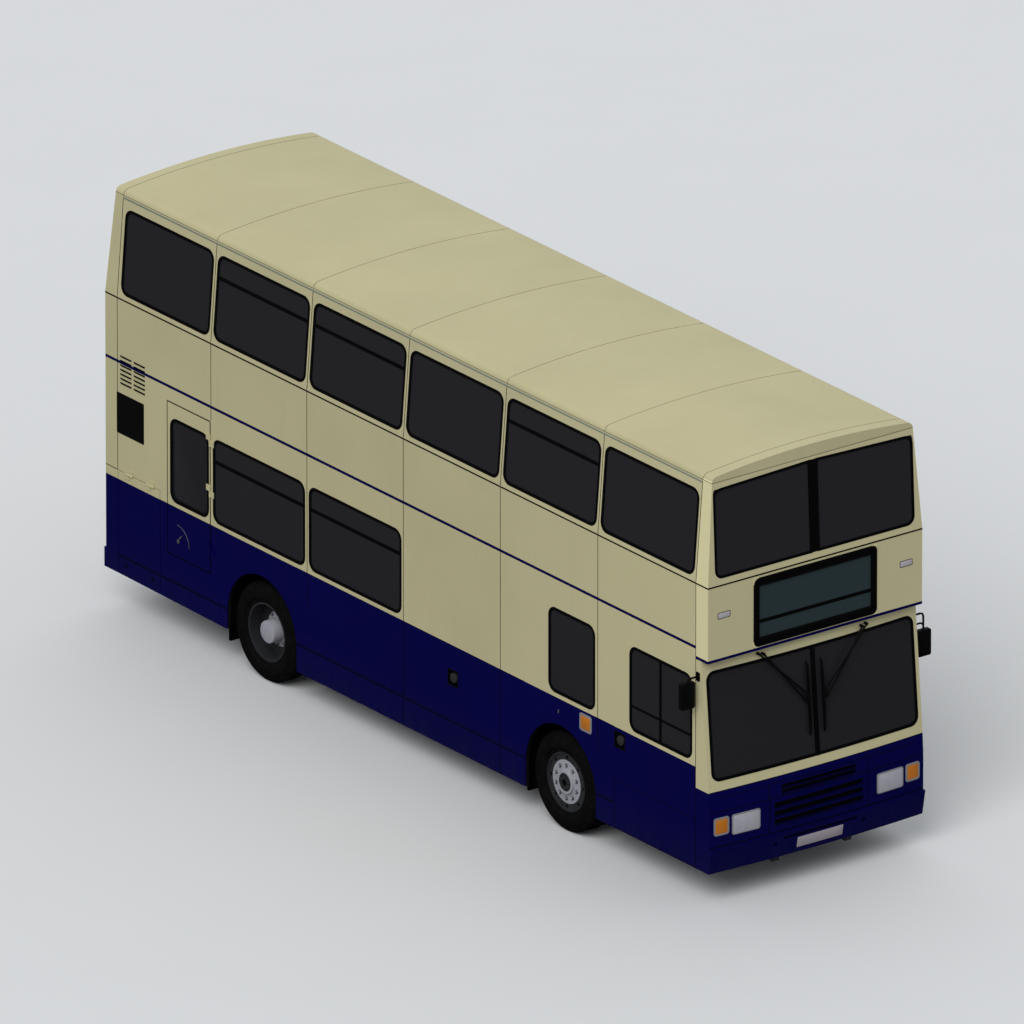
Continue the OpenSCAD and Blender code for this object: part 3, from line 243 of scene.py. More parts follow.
def mottled(name, color, roughness, scale=6.0, spread=0.12, bump_scale=400.0, bump=0.0002, **sockets):
    """A finish whose colour and gloss drift a little, with a fine surface texture."""
    f = Finish(name, color, roughness, **sockets)
    drift = f.noise(scale)
    f.set(Base_Color=f.mix(drift, shade(color, 1 - spread), shade(color, 1 + spread)),
          Roughness=f.spread(drift, max(0.02, roughness - 0.06), min(1, roughness + 0.06)))
    f.bump(f.noise(bump_scale, 2.0), bump, 0.6)
    return f.material


print("shader tools ready")

# %% [markdown]
# ## Coach paint
# The livery is painted over the finished body, so it takes no notice of where one
# panel ends and the next begins. One material therefore colours all panels by height:
# blue below the waist, cream above, and a thin blue band between the decks. Round the
# front the blue ends lower. The satin cream also carries a broad soft highlight painted
# into its colour: the sides are painted lighter towards the front, and the front corner
# panels lighter still. Road film dulls and darkens the skirts, and the roof joints are
# sealed with a dark line.

# %% Livery
CREAM = (0.630, 0.580, 0.345)
NAVY = (0.0012, 0.0008, 0.072)
SEALANT = (0.030, 0.028, 0.020)
LINING, KICK_PANEL, KICK_Z = (0.300, 0.290, 0.250), (0.010, 0.010, 0.011), 1.06
SIDE_WAIST, FRONT_WAIST = 1.363, 1.15
ROOF_JOINT_W, RIM_JOINT_W, SKIN, LINING_IN = 0.006, 0.007, 0.010, 0.030
# The first two stations bound the painted highlight on the cream sides, strongest at the front; the factor after them
# paints the corner panels lighter, as a painted highlight.
HIGHLIGHT_FROM, HIGHLIGHT_TO, CORNER_HIGHLIGHT, STREAKED = at(0.2), at(3.4), 1.45, (9.0, 9.0, 0.8)
BAND_Z, FRONT_BAND_Z, BAND_H = 2.58, 2.478, 0.030


def coach_paint():
    f = Finish("coach_paint", CREAM, 0.42, Specular_IOR_Level=0.05)
    x, y, z = f.xyz()
    front = y < at(CORNER)
    waist = SIDE_WAIST - front * (SIDE_WAIST - FRONT_WAIST)
    band_middle = BAND_Z - front * (BAND_Z - FRONT_BAND_Z)
    band = abs(z - band_middle) < BAND_H / 2
    is_cream = (z > waist) * (1 - band)
    drift = f.noise(0.9, 4.0)
    streaks = f.noise(1.0, 4.0, 0.6, STREAKED)
    cream = f.mix(f.spread(drift, 0, 1), shade(CREAM, 0.955), shade(CREAM, 1.035))
    cream = f.mix(f.between(streaks, 0.55, 0.80, 0, 0.25), cream, shade(CREAM, 0.84))
    # Painted highlight: below the cantrail the cream is painted up to 10% lighter towards the front.
    cream = f.mix((z < CANTRAIL) * f.between(y, HIGHLIGHT_FROM, HIGHLIGHT_TO, 1, 0), cream, shade(CREAM, 1.10))
    navy = f.mix(f.spread(drift, 0, 1), shade(NAVY, 0.92), shade(NAVY, 1.08))
    film = f.between(z, 0.30, 0.75, 0.22, 0.0) * f.between(streaks, 0.3, 0.8, 0.3, 1.0)
    navy = f.mix(film, navy, (0.030, 0.027, 0.030))
    body = f.mix(is_cream, navy, cream)
    above_belt = (z - BELT).math("MAXIMUM", 0.0)
    outward = abs(x) + above_belt * tan(SIDE_LEAN)
    # Painted highlight: the cream corner panels at the front are painted 45% lighter.
    corner_panel = front * (outward > HALF - 0.004) * (z > FRONT_BAND_Z + 0.02)
    body = f.mix(corner_panel, body, shade(CREAM, CORNER_HIGHLIGHT))
    saloon = z > KICK_Z
    inside = (outward < (HALF - SKIN - saloon * (LINING_IN - SKIN))) * (y > at(0.150))
    inside = inside * ((y + above_belt * tan(REAR_LEAN)) < (REAR - LINING_IN)) * (z < (CANTRAIL - SKIN))
    body = f.mix(inside, body, f.mix(saloon, KICK_PANEL, LINING))
    on_roof = z > CANTRAIL + 0.004
    joints = ((y - (at(CORNER) - ROOF_JOINT_W / 2)) % BAY) < ROOF_JOINT_W
    rear_joint = abs(y - at(REAR_CORNER)) < ROOF_JOINT_W / 2
    crossing = joints.math("MAXIMUM", rear_joint) * (y < at(8.2)).math("MAXIMUM", rear_joint)
    rim_joint = abs(z - (CANTRAIL + SKIN)) < RIM_JOINT_W / 2
    lines = (on_roof * crossing).math("MAXIMUM", rim_joint * 0.7)
    f.set(Base_Color=f.mix(lines, body, SEALANT))
    f.set(Roughness=f.spread(f.noise(3.0), 0.36, 0.46) + film * 0.6)
    f.bump(f.noise(120.0, 2.0) * 0.25 - lines, 0.0008, 0.7)
    return f.material


paint = coach_paint()
print("coach paint nodes:", len(paint.node_tree.nodes))

# %% [markdown]
# ## The other finishes
# Each real material gets its own grain. Moulded plastic is pebbled, rubber is dull
# and slightly dusty, cast iron is rough, floor covering is speckled, and moquette is a
# short cut pile woven in small blocks of two blues. Colour drifts a little over all of
# them, because nothing real is one flat colour.

# %% Plastics, rubbers and metals
rubber = mottled("window_rubber", (0.0018, 0.0018, 0.0021), 0.66, 5.0, 0.25, Specular_IOR_Level=0.05)
black_moulding = mottled("black_moulding", (0.0026, 0.0026, 0.0029), 0.50, 7.0, 0.2, 900.0, 0.0003,
                         Specular_IOR_Level=0.07)
bright_metal = mottled("bright_metal", (0.62, 0.62, 0.63), 0.26, 8.0, 0.06, 700.0, 0.0001, Metallic=1.0)
worn_steel = mottled("worn_steel", (0.30, 0.30, 0.31), 0.42, 9.0, 0.2, 500.0, 0.0002, Metallic=0.9)
chassis_paint = mottled("chassis_paint", (0.022, 0.022, 0.024), 0.58, 4.0, 0.35, 250.0, 0.0008)
cast_iron = mottled("cast_iron", (0.060, 0.062, 0.066), 0.72, 6.0, 0.3, 160.0, 0.0015)
housing_black = mottled("housing_black", (0.0026, 0.0026, 0.0026), 0.85, 3.0, 0.4, 120.0, 0.0012,
                        Specular_IOR_Level=0.05)
tank_paint = mottled("tank_paint", (0.020, 0.020, 0.022), 0.40, 3.0, 0.3, 300.0, 0.0003)
wheel_silver = mottled("wheel_silver", (0.42, 0.42, 0.47), 0.38, 6.0, 0.10, 500.0, 0.0002)
wheel_dark = mottled("wheel_dark", (0.022, 0.023, 0.027), 0.50, 6.0, 0.25, 400.0, 0.0003)
rail_yellow = mottled("rail_yellow", (0.62, 0.42, 0.035), 0.36, 5.0, 0.06, 500.0, 0.0001)
laminate = mottled("laminate", (0.40, 0.39, 0.34), 0.50, 3.0, 0.05, 600.0, 0.0002)
plate_blank = mottled("plate_blank", (0.47, 0.42, 0.47), 0.45, 12.0, 0.04, 800.0, 0.0001)


def speckled(name, base, fleck, roughness, scale, cover):
    f = Finish(name, base, roughness)
    flecks = f.noise(scale, 1.0) > cover
    broad = f.noise(2.5)
    f.set(Base_Color=f.mix(flecks * 0.8, f.mix(broad, shade(base, 0.85), shade(base, 1.15)), fleck),
          Roughness=f.spread(broad, roughness - 0.08, roughness + 0.08))
    f.bump(f.noise(scale * 0.8), 0.0006, 0.6)
    return f.material


floor_covering = speckled("floor_covering", (0.035, 0.038, 0.045), (0.25, 0.26, 0.28), 0.6, 260.0, 0.64)


def tyre_rubber():
    f = Finish("tyre_rubber", (0.0030, 0.0030, 0.0030), 0.80, Specular_IOR_Level=0.06)
    dust = f.noise(14.0, 5.0)
    f.set(Base_Color=f.mix(f.between(dust, 0.45, 0.75, 0, 1), (0.0030, 0.0030, 0.0032), (0.0075, 0.0070, 0.0066)),
          Roughness=f.spread(dust, 0.70, 0.88))
    f.bump(f.noise(220.0), 0.0005, 0.6)
    return f.material


tyre_black = tyre_rubber()
print("plastics, rubbers and metals:", len(bpy.data.materials))

# %% [markdown]
# ## Glass, lenses and seat cloth
# Bus glass is tinted, and from outside it reads as nearly black. It could be made to
# refract, but a dark surface that lets a little through is quieter to render and looks
# the same. Lens ribs come from a sine wave and the woven blocks from a checker, so both
# stay sharp from close by.


# %% Glass, lenses and seat cloth
def tinted_glass(name, color, alpha, roughness=0.05, low_color=None):
    """Dark glass. With low_color, panes at the front below the upper deck take that colour."""
    f = Finish(name, color, roughness, Alpha=alpha, IOR=1.45, Specular_IOR_Level=0.20)
    if low_color:
        x, y, z = f.xyz()
        f.set(Base_Color=f.mix((z < BELT - 0.02) * (y < at(0.5)), color, low_color))
    film = f.noise(2.2, 4.0)
    f.set(Roughness=f.between(film, 0.35, 0.75, roughness, roughness + 0.08))
    f.bump(f.noise(1.3, 1.0), 0.002, 0.10)
    f.material.surface_render_method = "BLENDED"
    return f.material


window_glass = tinted_glass("window_glass", (0.0235, 0.0232, 0.0275), 0.955)
end_panes = tinted_glass("end_panes", (0.0270, 0.0262, 0.0310), 0.955, 0.06, (0.0350, 0.0560, 0.0610))
door_glass = tinted_glass("door_glass", (0.0205, 0.0202, 0.0240), 0.97)


def ribbed_lens(name, color, ribs, roughness=0.22):
    f = Finish(name, color, roughness, Coat_Weight=0.4, Coat_Roughness=0.05)
    x, y, z = f.xyz()
    wave = (x * (ribs * 2 * pi)).math("SINE")
    # Painted shade: the crests of the ribs are painted lighter and the grooves between them darker.
    f.set(Base_Color=f.mix(f.between(wave, -1, 1, 0, 1), shade(color, 0.90), shade(color, 1.05)),
          Roughness=f.spread(f.noise(30.0), roughness - 0.05, roughness + 0.05))
    f.bump(wave + f.noise(300.0) * 0.2, 0.0012, 0.7)
    return f.material


clear_lens = ribbed_lens("clear_lens", (0.56, 0.55, 0.62), 55.0)
amber_lens = ribbed_lens("amber_lens", (0.74, 0.235, 0.010), 90.0)
red_lens = ribbed_lens("red_lens", (0.42, 0.012, 0.010), 90.0)
marker_lens = ribbed_lens("marker_lens", (0.66, 0.63, 0.66), 120.0)


def moquette():
    f = Finish("moquette", (0.02, 0.04, 0.14), 0.92, Sheen_Weight=0.35, Sheen_Roughness=0.4)
    place = f.place()
    x, y, z = f.xyz(place)
    checks = f.node("ShaderNodeTexChecker", {}, {"Vector": place, "Scale": 26.0}, out="Fac")
    warp = (x * 2600.0).math("SINE") * ((y + z) * 2600.0).math("SINE")
    pile = f.noise(900.0, 2.0)
    deep, light, fleck = (0.012, 0.022, 0.095), (0.028, 0.055, 0.200), (0.200, 0.120, 0.030)
    base = f.mix(checks, deep, light)
    base = f.mix((f.noise(150.0, 0.0) > 0.66) * 0.8, base, fleck)
    f.set(Base_Color=f.mix(f.spread(pile, 0, 0.4), base, shade(deep, 0.6)))
    f.bump(warp * 0.5 + pile, 0.0012, 0.7)
    return f.material


seat_cloth = moquette()


def vinyl(name, color):
    f = Finish(name, color, 0.45)
    grain = f.node("ShaderNodeTexVoronoi", {}, {"Vector": f.place(), "Scale": 420.0}, out="Distance")
    f.set(Base_Color=f.mix(f.noise(5.0), shade(color, 0.85), shade(color, 1.15)),
          Roughness=f.between(grain, 0.0, 0.6, 0.38, 0.55))
    f.bump(grain, 0.0008, 0.6)
    return f.material


seat_vinyl = vinyl("seat_vinyl", (0.020, 0.026, 0.060))
driver_vinyl = vinyl("driver_vinyl", (0.018, 0.018, 0.020))
print("finishes:", len(bpy.data.materials))

# %% [markdown]
# ## Dressing the parts
# Parts whose shape is already right only need their finish. Each of them is given one
# here, so that none is left in plain grey.

# %% Finishes on the engineering parts
DRESS = {
    paint: "offside_lower_side nearside_lower_side offside_upper_side nearside_upper_side roof "
           "front_lower_panel windscreen_surround front_upper_panel rear_lower_panel rear_upper_panel "
           "front_bumper rear_bumper emergency_door engine_cover engine_flap_offside "
           "engine_flap_nearside door_front_outer door_front_inner door_rear_inner door_rear_outer",
    worn_steel: "knuckle_nearside knuckle_offside",
    tank_paint: "fuel_tank",
    cast_iron: "engine",
    floor_covering: "lower_floor upper_floor",
    housing_black: "wheel_arches",
    laminate: "bulkheads staircase",
    window_glass: "windscreen side_glass",
    end_panes: "end_glass",
    black_moulding: "destination_box cab_dashboard steering_wheel wipers mirrors",
    driver_vinyl: "driver_seat",
    seat_cloth: "passenger_seats",
    chassis_paint: "chassis_frame front_axle rear_axle track_rod seat_frames",
    rail_yellow: "handrails",
    clear_lens: "lamps",
    wheel_dark: "front_rim_nearside front_rim_offside rear_rims_nearside rear_rims_offside",
    tyre_black: "front_tyre_nearside front_tyre_offside rear_tyres_nearside rear_tyres_offside",
}
for finish, names in DRESS.items():
    for name in names.split():
        part = nodes[name]
        part.data.materials.clear()
        part.data.materials.append(finish)
undressed = [n for n, o in nodes.items() if not o.data.materials or o.data.materials[0] is None]
print("undressed parts:", undressed)

# %% [markdown]
# ## Workshop helpers
# Most fittings are flat shapes with rounded corners that lie on a wall: window
# rubbers, panes, lamp bezels, plates. A one-face grid whose corners are bevelled gives
# the outline. An inset turns it into a ring and an extrusion gives it thickness.

# %% Outlines and rings
HAIR, ROUND = 1e-6, dict(profile=0.5, material=-1)


def outwards(bm):
    """Turns every face outwards."""
    bmesh.ops.recalc_face_normals(bm, faces=bm.faces)
    return bm


def tilt(bm, degrees, axis="X", pivot=(0, 0, 0)):
    bmesh.ops.rotate(bm, verts=bm.verts, cent=pivot, matrix=Matrix.Rotation(radians(degrees), 3, axis))
    return bm


def soften(bm, high, edge):
    """Rounds the edges of the face at the given height."""
    if edge > 0:
        bm.normal_update()
        rim = [e for e in bm.edges if all(v.co.z > high - HAIR for v in e.verts) and e.calc_face_angle(0) > 0.5]
        bmesh.ops.bevel(bm, geom=rim, offset=edge, segments=2, affect="EDGES", **ROUND)
    return bm


def rounded_face(width, height, radius, steps=6):
    bm = bmesh.new()
    bmesh.ops.create_grid(bm, x_segments=1, y_segments=1, size=0.5)
    bmesh.ops.scale(bm, vec=(width, height, 1), verts=bm.verts)
    if radius > 0:
        bmesh.ops.bevel(bm, geom=bm.verts[:], offset=radius, segments=steps, affect="VERTICES", **ROUND)
    return bm


def corner_face(corners):
    """A face from corners (x, y, radius), listed anticlockwise."""
    bm = bmesh.new()
    bm.faces.new([bm.verts.new((x, y, 0)) for x, y, r in corners])
    for radius in sorted({r for x, y, r in corners if r > 0}, reverse=True):
        chosen = [v for v in bm.verts for x, y, r in corners
                  if r == radius and (v.co - Vector((x, y, 0))).length < HAIR]
        bmesh.ops.bevel(bm, geom=chosen, offset=radius, segments=6, affect="VERTICES", **ROUND)
    bm.normal_update()
    return bm


def thicken(bm, low, high, edge=0.0):
    """Gives flat faces in the XY plane a thickness from low to high, with softened front edges."""
    bmesh.ops.translate(bm, vec=(0, 0, low), verts=bm.verts)
    grown = bmesh.ops.extrude_face_region(bm, geom=bm.faces[:])["geom"]
    top = [v for v in grown if isinstance(v, bmesh.types.BMVert)]
    bmesh.ops.translate(bm, vec=(0, 0, high - low), verts=top)
    return outwards(soften(bm, high, edge))


def ring_of(bm, border):
    """Cuts the middle out of a single face, leaving a ring of the given border."""
    inner = bm.faces[:]
    bmesh.ops.inset_region(bm, faces=inner, thickness=border, use_even_offset=True, use_boundary=True)
    bmesh.ops.delete(bm, geom=inner, context="FACES")
    return bm


def plate(width, height, radius, low, high, edge=0.002, steps=6):
    return thicken(rounded_face(width, height, radius, steps), low, high, edge)


def bezel(width, height, radius, border, low, high, edge=0.002, steps=6):
    return thicken(ring_of(rounded_face(width, height, radius, steps), border), low, high, edge)


def bar(width, height, low, high, edge=0.0015):
    return plate(width, height, 0, low, high, edge)


sample = bezel(1.0, 1.0, 0.1, 0.03, 0.0, 0.01)
print("a ring with rounded corners has", len(sample.faces), "faces")
sample.free()

# %% [markdown]
# ## Turned and bent shapes
# Hubs, tyres and tanks are turned: a profile is spun round an axis, as on a lathe.
# Pipes and rails are bent: rings follow a path and each is bridged to the next. Curve
# objects could do both, but a mesh can be joined to other parts at once.


# %% Turned and bent shapes
def drum(radius, low, high, sides=32, edge=0.002):
    """A disc standing on the XY plane."""
    bm = bmesh.new()
    bmesh.ops.create_cone(bm, cap_ends=True, segments=sides, radius1=radius, radius2=radius, depth=high - low)
    bmesh.ops.translate(bm, vec=(0, 0, (low + high) / 2), verts=bm.verts)
    return soften(bm, high, edge)


def lathe(profile, sides=64, closed=False):
    """A turned shape: profile is a list of (radius, height) turned round Z."""
    bm = bmesh.new()
    verts = [bm.verts.new((r, 0, h)) for r, h in profile]
    edges = [bm.edges.new(pair) for pair in zip(verts, verts[1:])]
    if closed:
        edges.append(bm.edges.new((verts[-1], verts[0])))
    bmesh.ops.spin(bm, geom=verts + edges, cent=(0, 0, 0), axis=(0, 0, 1), angle=2 * pi,
                   steps=sides, use_merge=True)
    bmesh.ops.remove_doubles(bm, verts=bm.verts, dist=HAIR)
    return outwards(bm)


def tube(points, radius, sides=10, closed=False):
    """A round bar along a list of points, with flat ends."""
    bm = bmesh.new()
    points = [Vector(p) for p in points]
    rings = []
    for i, p in enumerate(points):
        before = points[i - 1] if i or closed else p
        after = points[(i + 1) % len(points)] if i + 1 < len(points) or closed else p
        turn = (after - before).normalized().to_track_quat("Z", "Y").to_matrix().to_4x4()
        ring = bmesh.ops.create_circle(bm, segments=sides, radius=radius, cap_ends=False,
                                       matrix=Matrix.Translation(p) @ turn)["verts"]
        rings.append([e for e in bm.edges if e.verts[0] in ring and e.verts[1] in ring])
    pairs = list(zip(rings, rings[1:])) + ([(rings[-1], rings[0])] if closed else [])
    for a, b in pairs:
        bmesh.ops.bridge_loops(bm, edges=a + b)
    if not closed:
        bmesh.ops.holes_fill(bm, edges=[e for e in bm.edges if e.is_boundary], sides=0)
    return outwards(bm)


sample = tube([(0, 0, 0), (0, 0, 1), (0, 1, 1)], 0.05)
print("a pipe with one bend has", len(sample.faces), "faces")
sample.free()

# %% [markdown]
# ## Frames on the walls
# Above the belt every wall leans in a little. These frames know by how much, so a part
# made flat round the origin lies on the skin wherever it is put.


# %% Frames on the walls
def shift(x, y, z):
    return Matrix.Translation((x, y, z))


def place_at(origin, rightward=(1, 0, 0), upward=(0, 0, 1)):
    """A frame whose X runs rightward, Y upward and Z out of the surface."""
    x, y = Vector(rightward).normalized(), Vector(upward).normalized()
    return Matrix.Translation(origin) @ Matrix((x, y, x.cross(y))).transposed().to_4x4()


def leaning(z, lean):
    """At height z, how far a wall has come in and how much it leans. It is upright up to the belt."""
    return max(0.0, z - BELT) * tan(lean), lean if z > BELT else 0.0


def wall(side, station, z):
    """The frame on the outer skin of one side (-1 offside, 1 nearside)."""
    inward, lean = leaning(z, SIDE_LEAN)
    return place_at((side * (HALF - inward), at(station), z), (0, side, 0), (-side * sin(lean), 0, cos(lean)))


def front_wall(x, z):
    inward, lean = leaning(z, FRONT_LEAN)
    return place_at((x, FRONT + inward, z), (1, 0, 0), (0, sin(lean), cos(lean)))


def rear_wall(x, z):
    inward, lean = leaning(z, REAR_LEAN)
    return place_at((x, REAR - inward, z), (-1, 0, 0), (0, -sin(lean), cos(lean)))


print("a side wall comes in by", round(leaning(CANTRAIL, SIDE_LEAN)[0], 3), "m up to the cantrail")

# %% [markdown]
# ## Gathering parts into pieces
# Hundreds of separate objects would be slow and hard to name. A group collects the
# small parts that share a finish and a body, such as a whole row of window rubbers,
# and makes one piece of them.


# %% Pieces
class Group:
    """Small parts that share one finish and one body, gathered into a single piece."""

    def __init__(self):
        self.bm = bmesh.new()

    def add(self, part, place=None):
        if place is not None:
            bmesh.ops.transform(part, matrix=place, verts=part.verts)
        hold = bpy.data.meshes.new("hold")
        part.to_mesh(hold)
        part.free()
        self.bm.from_mesh(hold)
        bpy.data.meshes.remove(hold)

    def strip(self, side, s0, s1, z, height, *thickness):
        """A bar along one side from station s0 to s1, at height z."""
        self.add(bar(s1 - s0, height, *thickness), wall(side, (s0 + s1) / 2, z))

    def make(self, name, finish, body="body", slot=None, stands_for=(), smooth=40):
        mesh = bpy.data.meshes.new(name)
        self.bm.to_mesh(mesh)
        self.bm.free()
        made = new_object(name, mesh)
        mesh.materials.append(finish)
        mesh.polygons.foreach_set("use_smooth", [True] * len(mesh.polygons))
        mesh.set_sharp_from_angle(angle=radians(smooth))
        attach(made, body)
        if stands_for:
            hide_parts(*stands_for)
        print(f"{name}: {len(mesh.polygons)} faces")
        return made


# %% [markdown]
# ## The bowed front
# The lower front is a shallow bow: seen from above it bulges forward by 47 mm. It is
# upright to the crease, leans back a little above it, and leans back more round the
# windscreen. Pieces for it are made flat and then laid on that surface point by point.

# %% Laying flat pieces on the bow
BOW_REACH, BOW_SAG, BUMPER_REACH = 0.075, 0.047, 0.110
BOW_R = (HALF ** 2 + BOW_SAG ** 2) / (2 * BOW_SAG)
CREASE_Z, SCREEN_BASE_Z, BUMPER_TOP_Z = 0.945, 1.15, 0.58
PANEL_LEAN, SCREEN_LEAN, BUMPER_LEAN = radians(3.6), radians(5.2), radians(10)
BOW_STEP = 0.12
SCREEN_REACH = BOW_REACH - (SCREEN_BASE_Z - CREASE_Z) * tan(PANEL_LEAN)


def sag(x):
    return BOW_R - sqrt(BOW_R ** 2 - x * x)


def front_skin(x, z):
    """The Y of the outer skin of the lower front."""
    if z > SCREEN_BASE_Z:
        return FRONT - SCREEN_REACH + (z - SCREEN_BASE_Z) * tan(SCREEN_LEAN) + sag(x)
    if z > CREASE_Z:
        return FRONT - BOW_REACH + (z - CREASE_Z) * tan(PANEL_LEAN) + sag(x)
    if z > BUMPER_TOP_Z:
        return FRONT - BOW_REACH + sag(x)
    return FRONT - BUMPER_REACH + (BUMPER_TOP_Z - z) * tan(BUMPER_LEAN) + sag(x)


def lay_on_bow(bm, x, z, skin=front_skin):
    """Moves a flat part to (x, z) on the bow; its Z becomes the distance out of the skin."""
    bmesh.ops.translate(bm, vec=(x, z, 0), verts=bm.verts)
    low, high = min(v.co.x for v in bm.verts), max(v.co.x for v in bm.verts)
    cuts = int((high - low) / BOW_STEP)
    for i in range(1, cuts + 1):
        bmesh.ops.bisect_plane(bm, geom=bm.verts[:] + bm.edges[:] + bm.faces[:],
                               plane_co=(low + (high - low) * i / (cuts + 1), 0, 0), plane_no=(1, 0, 0))
    for v in bm.verts:
        v.co = (v.co.x, skin(v.co.x, v.co.y) - v.co.z, v.co.y)
    return outwards(bm)


print("bow radius", round(BOW_R, 2), "m")

# %% [markdown]
# ## Window rubbers
# Every pane sits in a black rubber that overlaps the painted panel and grips the
# glass. It is a ring with softened edges. Opening vents show as a flat black bar
# across the pane, about a third of the way down.

# %% Side window rubbers and vents
WINDOW_R, PILLAR, GASKET = 0.100, 0.033, 0.027
UP_SILL, UP_HEAD, LOW_SILL, LOW_HEAD = 3.29, 4.15, 1.41, 2.273
UP_VENT_Z, LOW_VENT_Z, VENT_BAR_H = 3.915, 2.033, 0.034
CAB_S0, CAB_S1, CAB_BAR_S, CAB_BAR_Z = 0.243, 1.22, 0.743, 1.657
SUNK, TUCK = -0.0055, GASKET - 0.002
LOW_MIDDLE, UP_MIDDLE = (LOW_SILL + LOW_HEAD) / 2, (UP_SILL + UP_HEAD) / 2


def side_windows(side):
    rows = [(seam(i) + PILLAR, seam(i + 1) - (PILLAR if i < BAYS - 1 else 0.053), UP_SILL, UP_HEAD,
             UP_VENT_Z if i in (1, 3, 4) else None) for i in range(BAYS)]
    low_bays = (3, 4) if side < 0 else (1, 2, 3, 4)
    rows += [(seam(i) + PILLAR, seam(i + 1) - PILLAR, LOW_SILL, LOW_HEAD,
              LOW_VENT_Z if i != 1 else None) for i in low_bays]
    if side < 0:
        rows += [(CAB_S0, CAB_S1, LOW_SILL, LOW_HEAD, None), (1.7635, 2.493, LOW_SILL, LOW_HEAD, None)]
    return rows


def window_rubber(width, height, radius=WINDOW_R):
    lip = 0.004
    return bezel(width + 2 * lip, height + 2 * lip, radius + lip, GASKET + lip, SUNK, 0.003, 0.0015)


for side, name in SIDES:
    rubbers = Group()
    for s0, s1, z0, z1, vent in side_windows(side):
        slope = 1 / cos(SIDE_LEAN) if z0 > BELT else 1.0
        middle = wall(side, (s0 + s1) / 2, (z0 + z1) / 2)
        rubbers.add(window_rubber(s1 - s0, (z1 - z0) * slope), middle)
        if vent:
            rubbers.strip(side, s0 + TUCK, s1 - TUCK, vent, VENT_BAR_H, SUNK, 0.001)
    if side < 0:
        rubbers.add(bar(0.030, LOW_HEAD - LOW_SILL - 2 * TUCK, SUNK, 0.001), wall(side, CAB_BAR_S, LOW_MIDDLE))
        rubbers.strip(side, CAB_S0 + TUCK, CAB_S1 - TUCK, CAB_BAR_Z, 0.022, SUNK, 0.000)
    rubbers.make(f"window_rubbers_{name}", rubber)

# %% [markdown]
# ## Rubbers at the ends
# The heads of the front panes slope down to the corners, so each outline is a face with
# four given corners instead of a rounded rectangle. The windscreen's two rubbers are
# made flat in the same way and then laid on the bow.

# %% End window rubbers
FRONT_OPENING = ((0.030, 3.300, 0.012), (HALF - 0.088, 3.300, 0.09), (HALF - 0.088, 4.2011, 0.09),
                 (0.030, 4.236, 0.012))
ends = Group()
for side in (-1, 1):
    outline = [(side * x, z - BELT, r) for x, z, r in FRONT_OPENING]
    face = corner_face(outline[::side])
    ends.add(thicken(ring_of(face, GASKET), SUNK, 0.0025, 0.0015), front_wall(0, BELT + HAIR))
ends.add(bar(0.066, 0.93, -0.003, 0.0015), front_wall(0, 3.768))
ends.add(window_rubber(1.28, UP_HEAD - UP_SILL - 0.04, 0.09), rear_wall(0, UP_MIDDLE - 0.01))
ends.make("window_rubbers_ends", rubber)

screen = Group()
SCREEN_BAR, SCREEN_SILL, SCREEN_TOP, SCREEN_R = 0.046, 1.25, 2.34, 0.095
SCREEN_INNER, SCREEN_OUTER = -0.006, HALF - WALL + 0.002
SCREEN_LOW, SCREEN_HIGH = SCREEN_SILL - 0.004, SCREEN_TOP + 0.004
for side in (-1, 1):
    outline = [(side * x, z, r) for x, z, r in (
        (SCREEN_INNER, SCREEN_LOW, 0.004), (SCREEN_OUTER, SCREEN_LOW, SCREEN_R),
        (SCREEN_OUTER, SCREEN_HIGH, SCREEN_R), (SCREEN_INNER, SCREEN_HIGH, 0.004))]
    face = corner_face(outline[::side])
    screen.add(lay_on_bow(thicken(ring_of(face, 0.030), SUNK, 0.003, 0.0015), 0, 0))
screen.add(lay_on_bow(bar(SCREEN_BAR + 0.002, SCREEN_TOP - SCREEN_SILL, -0.004, 0.0045),
                      0, (SCREEN_SILL + SCREEN_TOP) / 2))
screen.make("windscreen_rubber", rubber)

# %% [markdown]
# ## Panel seams and strips
# The body is made of flat panels butted together over pillars. A thin sealed seam shows
# at each pillar, a black strip runs along the belt between the decks, and another
# along the skirt. Each is a slim bar that stands a hair proud of the skin.

